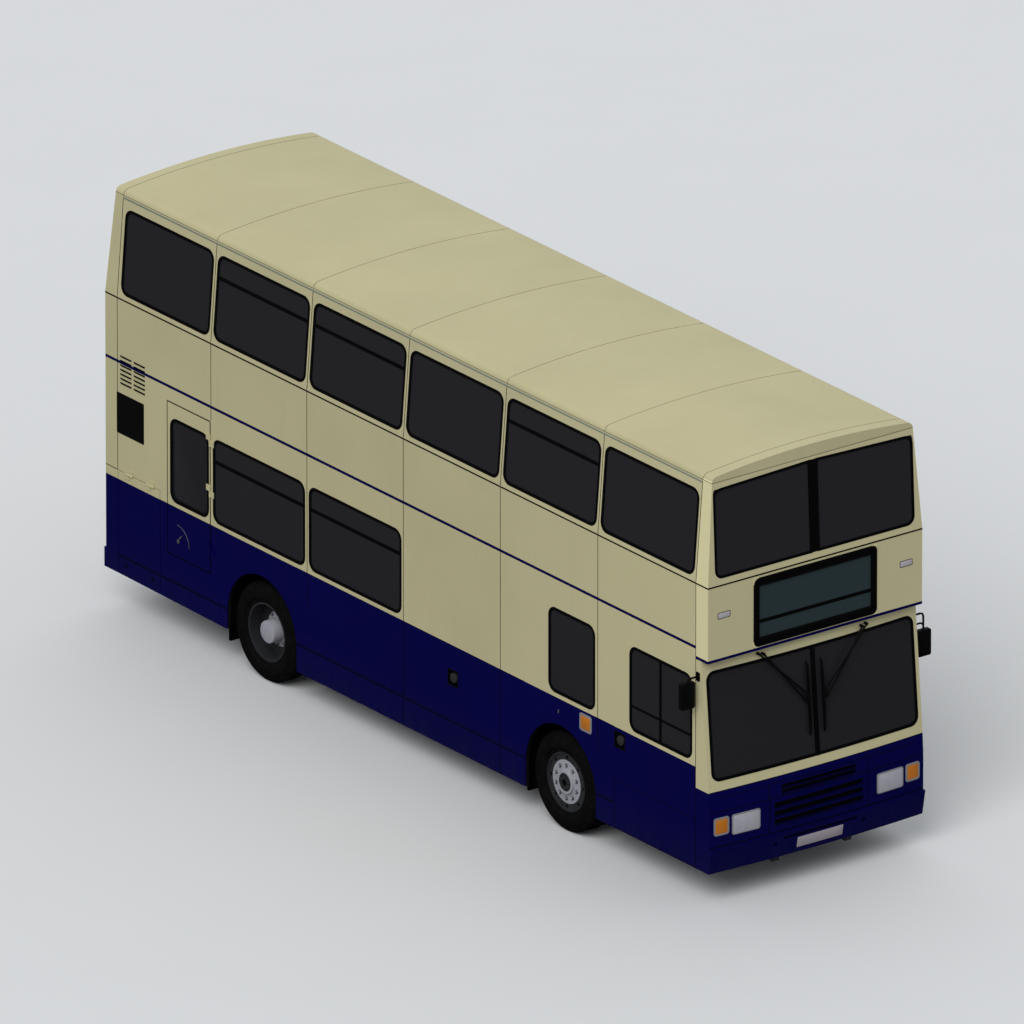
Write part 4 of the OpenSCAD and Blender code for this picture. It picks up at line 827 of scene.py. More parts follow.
# %% Seams, belt and skirt strips
SEAM_W, SEAM_PROUD = 0.0080, 0.0006
BELT_STRIP_H, SKIRT_STRIP_H = 0.0150, 0.0135
ARCH_R, FLAP_START, SKIRT_START = 0.556, 8.673, 1.46
SKIRT_STRIP_Z, COVER_TOP = 0.58, 1.458
SEAM_FEET = {-1: (0.33, 1.05, 0.295, 0.295, 1.02, 2.44, 1.465),
             1: (2.34, 0.33, 0.295, 0.295, 1.02, 0.37, 1.465)}
SEAM_TOP, SET_IN = BELT - 0.004, -0.001
SEAM_DEPTH, BELT_DEPTH, SKIRT_DEPTH = (SET_IN, SEAM_PROUD, 0), (SET_IN, 0.0025, 0.001), (SET_IN, 0.0015, 0)
seams, strips = Group(), Group()
for side in (-1, 1):
    for i, foot in enumerate(SEAM_FEET[side]):
        seams.add(bar(SEAM_W, SEAM_TOP - foot, *SEAM_DEPTH), wall(side, seam(i), (foot + SEAM_TOP) / 2))
        seams.add(bar(SEAM_W, (CANTRAIL - BELT - 0.010) / cos(SIDE_LEAN), *SEAM_DEPTH),
                  wall(side, seam(i), (BELT + CANTRAIL) / 2))
    seams.strip(side, REAR_CORNER, BODY_LENGTH, COVER_TOP, SEAM_W, *SEAM_DEPTH)
    for s0, s1 in ((0.0, CORNER), (CORNER, REAR_CORNER), (REAR_CORNER, BODY_LENGTH)):
        strips.strip(side, s0, s1, BELT - BELT_STRIP_H / 2 + 0.0005, BELT_STRIP_H, *BELT_DEPTH)
    for s0, s1 in ((SKIRT_START, FRONT_AXLE - ARCH_R),
                   (FRONT_AXLE + ARCH_R, REAR_AXLE - ARCH_R), (REAR_AXLE + ARCH_R, FLAP_START)):
        strips.strip(side, s0, s1, SKIRT_STRIP_Z, SKIRT_STRIP_H, *SKIRT_DEPTH)
        seams.strip(side, s0, s1, SIDE_WAIST, 0.003, SET_IN, 0.0004, 0)
for end_wall in (front_wall, rear_wall):
    strips.add(bar(2 * HALF, BELT_STRIP_H, *BELT_DEPTH), end_wall(0, BELT - BELT_STRIP_H / 2 - 0.0005))
seams.make("panel_seams", rubber, slot="black_plastic")
strips.make("belt_and_skirt_strips", rubber, slot="black_plastic")

# %% [markdown]
# ## Front panel and grille
# The blue front panel is divided by fine joints into a lid above the grille, two lamp
# panels and the grille itself. Behind each slot sits a dark back plate, a sheet of painted
# shade that closes the slot, with two sloping blades in front of it, so air can pass but
# no one sees in.

# %% Joints of the front panel
joints = Group()
LID_X, ACROSS = 0.59, 2 * HALF - 0.01
for x, z, w, h in ((0, 1.083, 2.30, 0.006), (0, 0.9445, ACROSS, 0.007), (-LID_X, 1.015, 0.008, 0.13),
                   (LID_X, 1.015, 0.008, 0.13), (-LID_X, 0.765, 0.008, 0.35), (LID_X, 0.765, 0.008, 0.35),
                   (0, 0.5875, ACROSS, 0.010), (0, 1.1505, ACROSS, 0.005)):
    joints.add(lay_on_bow(bar(w, h, -0.001, 0.0008, 0), x, z,
                          lambda x_, z_: min(front_skin(x_, z_), front_skin(x_, z_ + 0.006))))
joints.make("front_panel_joints", rubber, slot="black_plastic")

blades = Group()
GRILLE = [(0.438, z) for z in (0.9805, 1.0325)] + [(0.522, z) for z in (0.688, 0.774, 0.860)]
for half_w, z in GRILLE:
    tall = 0.037 if half_w < 0.5 else 0.052
    # The dark back plate behind each slot is painted shade, closing the view into the slot.
    blades.add(lay_on_bow(plate(2 * half_w + 0.02, tall + 0.02, 0, -0.050, -0.0455, 0), 0, z))
    for k in (-1, 1):
        slat = bar(2 * half_w - 0.004, tall * 0.30, -0.034, -0.018, 0.001)
        tilt(slat, -28, pivot=(0, 0, -0.026))
        blades.add(lay_on_bow(slat, 0, z + k * tall * 0.22))
    rim = bezel(2 * half_w + 0.010, tall + 0.010, 0.004, 0.006, -0.002, 0.0015, 0.0005, 2)
    blades.add(lay_on_bow(rim, 0, z))
# A dark plate behind the slot in the bumper, as painted shade.
blades.add(lay_on_bow(plate(0.89, 0.040, 0, -0.030, -0.020, 0), 0, 0.5185))
blades.make("grille_blades", housing_black, slot="black_plastic")

# %% [markdown]
# ## Headlamps and indicators
# Every lamp is three thin shapes in one pocket: a dark back, a lens with raised ribs
# and a bezel. A real lamp has a reflector too. It hardly shows through the ribs, so the
# lens stands for both.


# %% Headlamps and indicators
def lamp_frame(x, z):
    """A flat frame square to the bow, as the lamp pockets are."""
    turn = asin(x / BOW_R)
    return place_at((x, FRONT - BOW_REACH + sag(x), z), (cos(turn), sin(turn), 0))


HEAD_X, HEAD_Z, HEAD_W, HEAD_H = 0.857, 0.780, 0.326, 0.208
IND_X, IND_Z, IND_W, IND_H = 1.138, 0.794, 0.176, 0.184
MARKER_X, MARKER_Z = 1.0825, 2.925
bezels, lenses, ambers, backs, markers = Group(), Group(), Group(), Group(), Group()
for side in (-1, 1):
    head, ind = lamp_frame(side * HEAD_X, HEAD_Z), lamp_frame(side * IND_X, IND_Z)
    backs.add(plate(HEAD_W - 0.002, HEAD_H - 0.002, 0.012, -0.033, -0.004), head)
    lenses.add(plate(HEAD_W - 0.020, HEAD_H - 0.020, 0.022, -0.003, 0.0045, 0.003), head)
    for k in range(-6, 7):
        lenses.add(bar(0.004, HEAD_H - 0.050, 0.0040, 0.0058, 0.0008), head @ shift(k * 0.022, 0, 0))
    bezels.add(bezel(HEAD_W - 0.001, HEAD_H - 0.001, 0.026, 0.012, -0.004, 0.0065, 0.002), head)
    backs.add(plate(IND_W - 0.002, IND_H - 0.002, 0.012, -0.033, -0.004), ind)
    ambers.add(plate(IND_W - 0.040, IND_H - 0.040, 0.020, -0.003, 0.0065, 0.004), ind)
    for k in range(-3, 4):
        ambers.add(bar(IND_W - 0.060, 0.003, 0.0055, 0.0078, 0.0008), ind @ shift(0, k * 0.018, 0))
    bezels.add(bezel(IND_W - 0.001, IND_H - 0.001, 0.030, 0.021, -0.004, 0.0055, 0.002), ind)
    marker = front_wall(side * MARKER_X, MARKER_Z)
    markers.add(plate(0.140, 0.054, 0.012, -0.010, 0.004, 0.003), marker)
    backs.add(bezel(0.152, 0.066, 0.014, 0.007, -0.002, 0.002, 0.001), marker)
print("head and indicator lamps at x", HEAD_X, IND_X)

# %% [markdown]
# ## Rear lamps
# Each rear cluster is a black tray with three lenses, stacked: an indicator, a stop
# and tail lamp, and a clear reversing lamp. A red reflector sits below each tray, and
# blank plates finish the tail.

# %% Rear clusters, reflectors and plates
reds, plates = Group(), Group()
CLUSTER_X, CLUSTER_Z, LENS_PITCH = 1.145, 1.21, 0.134
for side in (-1, 1):
    cluster = rear_wall(side * CLUSTER_X, CLUSTER_Z)
    backs.add(plate(0.138, 0.416, 0.012, -0.002, 0.012, 0.003), cluster)
    for k, group in ((1, ambers), (0, reds), (-1, markers)):
        group.add(plate(0.116, 0.122, 0.016, 0.006, 0.0195, 0.004),
                  cluster @ shift(0, k * LENS_PITCH, 0))
    reds.add(plate(0.080, 0.036, 0.008, -0.001, 0.006, 0.002), rear_wall(side * CLUSTER_X, 0.93))
    repeater = wall(-1, 1.910, 1.245) if side < 0 else wall(1, 1.60, 1.56)
    bezels.add(bezel(0.190, 0.180, 0.030, 0.026, -0.001, 0.004, 0.002), repeater)
    ambers.add(plate(0.142, 0.132, 0.020, -0.001, 0.0065, 0.003), repeater)
plates.add(lay_on_bow(plate(0.54, 0.107, 0.006, 0.001, 0.006, 0.002), 0, 0.4325))
plates.add(plate(0.52, 0.111, 0.006, 0.0, 0.006, 0.002), rear_wall(0, 1.62))
for side in (-1, 1):
    plates.add(plate(0.10, 0.055, 0.004, 0.0, 0.002, 0.0008), rear_wall(side * 0.9, 2.0))
bezels.make("lamp_bezels", mottled("bezel_grey", (0.29, 0.29, 0.31), 0.35, 9.0, 0.08), slot="wheel_silver")
lenses.make("headlamp_lenses", clear_lens, slot="lamp_lens", stands_for=("lamps",))
ambers.make("amber_lamps", amber_lens, slot="lamp_lens")
reds.make("red_lamps", red_lens, slot="lamp_lens")
markers.make("marker_lamps", marker_lens, slot="lamp_lens")
backs.make("lamp_backs", black_moulding, slot="black_plastic")
plates.make("blank_plates", plate_blank)

# %% [markdown]
# ## Destination box
# A deep black box behind a rubber-framed pane. Behind the glass are the two blinds:
# a tall one above a thin divider and a low one under it. They stay blank.

# %% Destination box
DEST_W, DEST_Z0, DEST_H = 1.459, 2.505, 0.694
surround = Group()
box_front = front_wall(0, DEST_Z0 + DEST_H / 2)
surround.add(bezel(DEST_W + 0.006, DEST_H + 0.006, 0.055, 0.062, -0.001, 0.0078, 0.003), box_front)
surround.add(bezel(DEST_W - 0.10, DEST_H - 0.10, 0.030, 0.014, -0.006, 0.0085, 0.003), box_front)
surround.add(bar(DEST_W - 0.12, 0.034, -0.010, -0.003, 0.001), front_wall(0, 2.7515))
surround.make("destination_surround", rubber, slot="black_plastic")
webs = Group()
WEB_R, WEB_X, WEB_Z = 0.058, DEST_W / 2 + 0.003, DEST_H / 2 + 0.003
for kx in (-1, 1):
    for kz in (-1, 1):
        web = bmesh.new()
        arc = [(1 - cos(radians(a)), 1 - sin(radians(a))) for a in range(0, 91, 10)]
        outline = [(-0.06, -0.06), (1, -0.06), (1, 0)] + arc[::-1] + [(0, 1), (-0.06, 1)]
        spots = dict.fromkeys((round(u, 5), round(v, 5)) for u, v in outline)
        web.faces.new([web.verts.new((kx * (WEB_X - u * WEB_R), kz * (WEB_Z - v * WEB_R), 0)) for u, v in spots])
        web.normal_update()
        if web.faces[:][0].normal.z < 0:
            bmesh.ops.reverse_faces(web, faces=web.faces)
        webs.add(thicken(web, 0.0, 0.0082, 0), box_front)
webs.make("destination_corner_webs", paint, slot="cream_paint")
blinds = Group()
for z0, z1 in ((2.60, 2.735), (2.77, 3.105)):
    blind = rounded_face(1.33, z1 - z0, 0)
    bmesh.ops.subdivide_edges(blind, edges=blind.edges[:], cuts=6, use_grid_fill=True)
    for v in blind.verts:
        v.co.z = 0.003 * cos(v.co.y / (z1 - z0) * pi)
    blinds.add(blind, front_wall(0, (z0 + z1) / 2) @ shift(0, 0, -0.060))
blinds_piece = blinds.make("destination_blinds", mottled("blind_cloth", (0.020, 0.030, 0.034), 0.8, 8.0, 0.1),
                           slot="black_plastic")
solid = blinds_piece.modifiers.new("cloth thickness", "SOLIDIFY")
solid.thickness = 0.0015

# %% [markdown]
# ## Wipers
# Each wiper is a pantograph: two arms from spindles above the glass keep the blade
# upright. Both park beside the middle bar. The arms are bent tubes and the blades are
# thin bars laid on the bow, one on the other.

# %% Wipers
wipers = Group()
ARMS = (((0.640, 2.405), (0.085, 1.870)), ((0.585, 2.393), (0.113, 1.805)))
BLADE_X, CARRIER_X, CARRIER_Z, ARM_LIFT, ARM_BULGE = 0.085, 0.098, 1.850, 0.030, 0.012
for side in (-1, 1):
    def screen_point(x, z, lift):
        return Vector((side * x, front_skin(x, z) - lift, z))

    for (x0, z0), (x1, z1) in ARMS:
        path = [screen_point(x0 + (x1 - x0) * t, z0 + (z1 - z0) * t, ARM_LIFT + ARM_BULGE * sin(pi * t))
                for t in (0, 0.25, 0.5, 0.75, 1)]
        wipers.add(tube(path, 0.0095, 8))
    for spindle, knuckle in ARMS:
        wipers.add(drum(0.015, -0.040, 0.0, 16, 0.002), place_at(screen_point(*spindle, 0.0)) @ shift(0, 0, 0.040))
    for width, z0, z1, lift, depth in ((0.012, 1.47, 2.20, 0.006, 0.012), (0.026, 1.50, 2.17, 0.018, 0.008),
                                       (0.018, 1.60, 2.08, 0.028, 0.010)):
        rubber_strip = bar(width, z1 - z0, lift, lift + depth, 0.002)
        wipers.add(lay_on_bow(rubber_strip, side * BLADE_X, (z0 + z1) / 2))
    wipers.add(lay_on_bow(bar(0.052, 0.085, 0.030, 0.040, 0.004), side * CARRIER_X, CARRIER_Z))
wipers.make("wiper_arms_and_blades", black_moulding, slot="black_plastic", stands_for=("wipers",))

# %% [markdown]
# ## Mirrors
# The mirrors hang on bent round tubes. The nearside one hangs lower, from a double
# arm, so that the driver sees the kerb. Heads, arms and glass are three pieces, so each
# can be changed alone.

# %% Mirrors
mirror_arms, mirror_glass, mirror_heads = Group(), Group(), Group()
MIRROR_X, MIRROR_S, ARM_Z = 1.405, 0.150, 2.295
for side, head_z in ((-1, 2.130), (1, 1.990)):
    y = at(MIRROR_S)
    root, pipe = HALF - 0.002, ((HALF + 0.09, 0), (HALF + 0.118, -0.008), (MIRROR_X, -0.035))
    path = [(side * x, y, ARM_Z + drop) for x, drop in ((root, 0), *pipe, (MIRROR_X, head_z - 0.10 - ARM_Z))]
    mirror_arms.add(tube(path, 0.0105, 12))
    if side > 0:
        lower_arm = [(x, y, ARM_Z + drop) for x, drop in ((root, -0.10), (HALF + 0.10, -0.10), (MIRROR_X, -0.125))]
        mirror_arms.add(tube(lower_arm, 0.0095, 12))
    mirror_arms.add(plate(0.060, 0.090 if side < 0 else 0.19, 0.012, -0.001, 0.008),
                    wall(side, MIRROR_S, ARM_Z - (0 if side < 0 else 0.05)))
    mirror_heads.add(plate(0.160, 0.270, 0.022, -0.028, 0.026, 0.008), place_at((side * MIRROR_X, y, head_z)))
    for k in (-1, 1):
        clamp = drum(0.020, -0.018, 0.018, 20, 0.003)
        mirror_arms.add(clamp, place_at((side * MIRROR_X, y, head_z + k * 0.08 + 0.04), (1, 0, 0), (0, 1, 0)))
    mirror_glass.add(plate(0.142, 0.252, 0.016, 0.0255, 0.0278, 0.001),
                     place_at((side * MIRROR_X, y, head_z), (-1, 0, 0)))
mirror_heads.make("mirror_heads", black_moulding, slot="black_plastic", stands_for=("mirrors",))
mirror_arms.make("mirror_arms", black_moulding, slot="black_plastic")
mirror_glass.make("mirror_glass", mottled("mirror_silver", (0.75, 0.76, 0.78), 0.06, 3.0, 0.03, 50.0, 0.00005,
                                          Metallic=1.0), slot="glass_dark")

# %% [markdown]
# ## Side fittings
# Behind the rear window the engine breathes through two columns of hooded slits and a
# slatted grille. Two fillers sit in square pockets, each with a turned cap. Fine lines
# show an access panel, and the rain strip runs along the cantrail.

# %% Vents, fillers and access panels
vents, caps, cap_tops, outlines, rain = Group(), Group(), Group(), Group(), Group()
GRILLE_S, GRILLE_Z, SLIT_Z, SLIT_PITCH = 9.1495, 2.053, 2.360, 0.046
for side in (-1, 1):
    grille_at = wall(side, GRILLE_S, GRILLE_Z)
    # The dark plate behind the slats is painted shade, closing the grille.
    vents.add(plate(0.425, 0.410, 0.006, -0.0115, -0.010, 0), grille_at)
    vents.add(bezel(0.435, 0.420, 0.010, 0.014, -0.001, 0.003, 0.001), grille_at)
    vents.add(plate(0.410, 0.395, 0.004, -0.001, 0.0004, 0), grille_at)
    for k in range(8):
        slat = tilt(bar(0.404, 0.030, -0.0020, 0.0010, 0.0008), 24)
        vents.add(slat, wall(side, GRILLE_S, 1.884 + k * 0.050) @ shift(0, 0, -0.002))
    for s in (9.004, 9.220):
        for k in range(7):
            z = SLIT_Z + k * SLIT_PITCH
            # A dark plate behind each slit, as painted shade.
            vents.add(plate(0.170, 0.012, 0.003, -0.0115, -0.009, 0), wall(side, s, z))
            outlines.add(bar(0.180, 0.012, -0.001, 0.0045, 0.002), wall(side, s, z + 0.011))
vents.make("vent_slats", black_moulding, slot="black_plastic")
for pocket in (wall(-1, 4.002, 1.029), wall(-1, 1.373, 1.241)):
    caps.add(bezel(0.168, 0.168, 0.012, 0.010, -0.004, 0.003, 0.001), pocket)
    caps.add(bezel(0.1595, 0.1595, 0.005, 0.004, -0.0250, 0.0004, 0.0004), pocket)
    caps.add(plate(0.157, 0.157, 0.004, -0.0262, -0.0252, 0), pocket)
    cap_tops.add(drum(0.049, -0.0255, -0.0006, 40, 0.003), pocket)
    cap_tops.add(bar(0.014, 0.070, -0.002, 0.0030, 0.002), pocket)
caps.make("filler_pockets", black_moulding, slot="black_plastic")
cap_tops.make("filler_caps", mottled("cap_grey", (0.022, 0.022, 0.024), 0.75, 9.0, 0.2), slot="engine_grey")
LINE, PANEL_FOOT, PANEL_HEAD = 0.0060, 0.332, 0.833
outlines.add(bezel(SKIRT_START - CORNER, PANEL_HEAD - PANEL_FOOT, 0.004, LINE, SET_IN, 0.0005, 0),
             wall(-1, (CORNER + SKIRT_START) / 2, (PANEL_FOOT + PANEL_HEAD) / 2))
knob = Group()
knob.add(plate(0.016, 0.040, 0.004, -0.001, 0.004, 0.001), wall(-1, 2.335, 1.230))
knob.make("cab_release_knob", bright_metal, slot="seat_metal")
outlines.make("access_panels_and_hoods", mottled("panel_line", (0.0015, 0.0015, 0.004), 0.7, Specular_IOR_Level=0.05),
              slot="navy_paint")
for side in (-1, 1):
    rain.strip(side, CORNER, REAR_CORNER, CANTRAIL - 0.013, 0.016, SET_IN, 0.004, 0.0015)
# The rain strips are aluminium; their greenish tint is a painted reflection.
rain.make("rain_strips", mottled("aluminium_with_painted_reflection", (0.36, 0.40, 0.33), 0.38, 5.0, 0.10, 400.0, 0.0002, Metallic=0.35),
          slot="seat_metal")

# %% [markdown]
# ## Emergency door and its handle
# The emergency door swings on its front edge, behind the rear wheel. Its lever turns
# inside a quarter-round guide. The pane and rubber ride on the door.

# %% Emergency door
door_rubber, door_pane, handle = Group(), Group(), Group()
DOOR_S0, DOOR_S1, DOOR_FOOT, DOOR_HEAD = 7.868, 8.559, 0.858, 2.425
PANE_S0, PANE_S1, PLAY = DOOR_S0 + 0.024, DOOR_S1 - 0.051, 0.0006
pane_at = wall(-1, (PANE_S0 + PANE_S1) / 2, LOW_MIDDLE)
pane_w, pane_h = PANE_S1 - PANE_S0, LOW_HEAD - LOW_SILL
door_rubber.add(window_rubber(pane_w, pane_h), pane_at)
door_pane.add(plate(pane_w - PLAY, pane_h - PLAY, WINDOW_R, -0.012, -0.006, 0.0005), pane_at)
door_rubber.add(bezel(DOOR_S1 - DOOR_S0, DOOR_HEAD - DOOR_FOOT, 0.004, 0.007, -0.004, 0.0006, 0.0004),
                wall(-1, (DOOR_S0 + DOOR_S1) / 2, (DOOR_FOOT + DOOR_HEAD) / 2))
door_rubber.make("emergency_door_rubber", rubber, "emergency_door")
door_pane.make("emergency_door_pane", door_glass, "emergency_door", slot="glass_dark")
pivot = wall(-1, 8.400, 1.000)
ARC_R = 0.190
arc = [(ARC_R * cos(radians(a)), ARC_R * sin(radians(a)), 0.0006) for a in range(0, 91, 6)]
handle.add(tube(arc, 0.0028, 6), pivot)
handle.make("emergency_handle_arc", worn_steel, "emergency_door", slot="seat_metal")
lever = Group()
lever.add(tube([(0.018, 0.024, 0.001), (0.018, 0.024, 0.0085), (0.050, 0.062, 0.0095), (0.082, 0.100, 0.0095)],
               0.0070, 10), pivot)
lever.add(drum(0.020, 0.0, 0.006, 24, 0.002), pivot @ shift(0.018, 0.024, 0))
lever.make("emergency_handle", bright_metal, "emergency_door", slot="seat_metal")

# %% [markdown]
# ## Entrance doors
# Four narrow leaves fold outwards in pairs. Each has a tall pane above a short one,
# black rubber round both and a grab rail inside, so it looks like a door from either
# side. The two leaves that meet in the middle carry a soft rubber nose.

# %% Entrance doors
LEAF_W = (1.22 - 0.022 - 0.012 - 0.012) / 4
leaf_starts = [0.226]
for gap in (0.006, 0.012, 0.006):
    leaf_starts.append(leaf_starts[-1] + LEAF_W + gap)
LEAF_X1, LEAF_X0, RAIL = 1.268, 1.236, 0.042
CLEAR_W = LEAF_W - 2 * RAIL
for (name, s0), nose in zip(zip(("door_front_outer", "door_front_inner", "door_rear_inner", "door_rear_outer"),
                                leaf_starts), (0, 1, -1, 0)):
    trims, panes, rails = Group(), Group(), Group()
    middle = s0 + LEAF_W / 2
    for z0, z1 in ((0.475, 1.150), (1.210, 2.248)):
        outer = place_at((LEAF_X1, at(middle), (z0 + z1) / 2), (0, 1, 0))
        inner = place_at((LEAF_X0, at(middle), (z0 + z1) / 2), (0, -1, 0))
        for face_at in (outer, inner):
            trims.add(bezel(CLEAR_W + 0.010, z1 - z0 + 0.010, 0.034, 0.016, -0.010, 0.0025, 0.001), face_at)
        panes.add(plate(CLEAR_W - 0.004, z1 - z0 - 0.004, 0.030, -0.019, -0.013, 0.0005), outer)
    if nose:
        edge_s = s0 + LEAF_W if nose > 0 else s0
        soft = tube([(0, 0, 0.392), (0, 0, 2.312)], 0.0052, 12)
        trims.add(soft, shift(1.252, at(edge_s), 0))
    rails.add(tube([(LEAF_X0 - out, at(middle + 0.095), z) for out, z in (
        (0, 0.95), (0.020, 0.97), (0.020, 1.45), (0, 1.47))], 0.008, 10))
    trims.make(f"{name}_rubber", rubber, name)
    panes.make(f"{name}_pane", door_glass, name, slot="glass_dark")
    rails.make(f"{name}_rail", rail_yellow, name, slot="rail_yellow")

# %% [markdown]
# ## Engine cover and flaps
# The cover at the back has a louvred patch for the fan and two budget locks. The side
# flaps have the same kind of lock, and carry the skirt strip on across them.

# %% Cover and flap fittings
louvres = Group()
LOUVRE_PITCH = 0.062
cover = rear_wall(0, 1.02)
for k in range(9):
    blade = tilt(bar(1.20, 0.040, -0.001, 0.0040, 0.002), 5)
    louvres.add(blade, cover @ shift(0, (k - 4) * LOUVRE_PITCH, 0.0015))
louvres.add(bezel(1.26, 0.60, 0.02, 0.012, -0.001, 0.004, 0.001), cover)
louvres.make("engine_cover_louvres", black_moulding, "engine_cover", slot="black_plastic")
locks = Group()
for lock_at in (rear_wall(-0.80, 0.68), rear_wall(0.80, 0.68)):
    locks.add(drum(0.022, 0.0, 0.005, 24, 0.002), lock_at)
    locks.add(bar(0.034, 0.008, 0.004, 0.009, 0.002), lock_at)
locks.make("engine_cover_locks", bright_metal, "engine_cover", slot="seat_metal")
for side, name in SIDES:
    locks, flap = Group(), f"engine_flap_{name}"
    for lock_at in (wall(side, 8.80, 0.50), wall(side, 9.23, 0.50)):
        locks.add(drum(0.018, 0.0, 0.004, 24, 0.0015), lock_at)
        locks.add(bar(0.026, 0.006, 0.003, 0.0075, 0.0015), lock_at)
    locks.strip(side, FLAP_START + 0.012, REAR_CORNER - 0.012, SKIRT_STRIP_Z, SKIRT_STRIP_H, *SKIRT_DEPTH)
    locks.make(f"{flap}_locks_and_strip", rubber, flap, slot="black_plastic")

# %% [markdown]
# ## Tyres
# A bus tyre is a moulded carcass with a belted tread. The carcass is turned from its
# profile, with a rim protector ring and a scuff ring on each sidewall. The tread is
# five ribs cut across into blocks, and its outer ribs run down over the shoulders.


# %% Tyres
def wheel_frame(side, station, x=0.0):
    """X and Y lie in the plane of the wheel and Z points outwards from the bus."""
    return place_at((side * x, at(station), AXLE_Z), (0, side, 0))


TYRE_PROFILE = ((0.297, 0.100), (0.310, 0.1065), (0.318, 0.109), (0.328, 0.1085), (0.338, 0.1185), (0.350, 0.1245),
                (0.359, 0.1235), (0.410, 0.1305), (0.428, 0.1255), (0.436, 0.1205), (0.455, 0.117), (0.470, 0.111),
                (0.484, 0.0995), (0.4865, 0.084))
BLOCKS, BLOCK_HALF, TREAD_R, GROOVE_R, RIB_HALF = 60, 0.44, 0.5, 0.4868, 0.0145
FRONT_TYRE_X, REAR_TYRES_X = 1.108, (0.793, 1.113)


def tread_rib(section, offset):
    """Blocks round the tyre: section lists (across, radius), offset shifts them by part of a block."""
    bm = bmesh.new()
    pitch = 2 * pi / BLOCKS
    for k in range(BLOCKS):
        rings = []
        for turn in (-BLOCK_HALF, 0.0, BLOCK_HALF):
            a = (k + offset + turn) * pitch - pi / 2
            rings.append([bm.verts.new((r * cos(a), r * sin(a), x)) for x, r in section])
        for low, high in zip(rings, rings[1:]):
            for i in range(len(section)):
                j = (i + 1) % len(section)
                bm.faces.new((low[i], low[j], high[j], high[i]))
        bm.faces.new(rings[0][::-1])
        bm.faces.new(rings[-1])
    return outwards(bm)


def tyre_on(group, matrix):
    outline = [(r, -x) for r, x in TYRE_PROFILE] + [(r, x) for r, x in reversed(TYRE_PROFILE)]
    group.add(lathe(outline, 96, closed=True), matrix)
    for x, offset in ((-0.036, 0.5), (0.0, 0.0), (0.036, 0.5)):
        root = GROOVE_R - 0.001
        group.add(tread_rib(((x - RIB_HALF, root), (x - RIB_HALF, TREAD_R), (x + RIB_HALF, TREAD_R),
                             (x + RIB_HALF, root)), offset), matrix)
    for k in (-1, 1):
        group.add(tread_rib(((k * 0.0575, GROOVE_R - 0.003), (k * 0.0575, TREAD_R), (k * 0.0855, TREAD_R),
                             (k * 0.1085, 0.4765), (k * 0.1085, 0.4700), (k * 0.090, 0.4700)), 0.0), matrix)


for side, name in SIDES:
    for wheels, tyres, station, places in (("front_wheel", "front_tyre", FRONT_AXLE, (FRONT_TYRE_X,)),
                                           ("rear_wheels", "rear_tyres", REAR_AXLE, REAR_TYRES_X)):
        group = Group()
        for x in places:
            tyre_on(group, wheel_frame(side, station, x))
        end, kind = tyres.split("_")
        group.make(f"{kind}_{end}_{name}", tyre_black, f"{wheels}_{name}", slot="tyre_black",
                   stands_for=(f"{tyres}_{name}",), smooth=32)

# %% [markdown]
# ## Wheel centres
# The front wheel shows a silver disc with ten nuts round a dark hub. The rear wheel is
# the same pressing turned round, so it looks like a deep dish with the silver hub
# standing in it. Nuts, washers, studs, hand holes and valves are separate shapes.

# %% Wheel centres and nuts
FRONT_DISC = ((0.0905, 1.1970), (0.216, 1.1970), (0.2185, 1.1995), (0.2165, 1.2025), (0.127, 1.2025),
              (0.122, 1.2050), (0.118, 1.2230), (0.114, 1.2260), (0.0935, 1.2260), (0.0905, 1.2235))
FRONT_FLANGE = ((0.279, 1.1965), (0.293, 1.1965), (0.294, 1.2060), (0.2915, 1.2085), (0.287, 1.2085), (0.284, 1.2050))
REAR_HUB = ((0.1060, 1.0590), (0.176, 1.0590), (0.178, 1.0640), (0.174, 1.0690), (0.130, 1.0760), (0.118, 1.0850),
            (0.1140, 1.1000), (0.1140, 1.1960), (0.1100, 1.2040), (0.1060, 1.2040))
REAR_FLANGE = ((0.279, 1.2050), (0.291, 1.2050), (0.293, 1.2090), (0.290, 1.2115), (0.282, 1.2115))
NUTS, HAND_HOLES, HUB_BOLTS = 10, 8, 6


def around(count, radius, start=0.0):
    """Places spaced evenly round a wheel; start shifts them by part of a space."""
    return [Matrix.Rotation((k + start) * 2 * pi / count, 4, "Z") @ shift(radius, 0, 0) for k in range(count)]


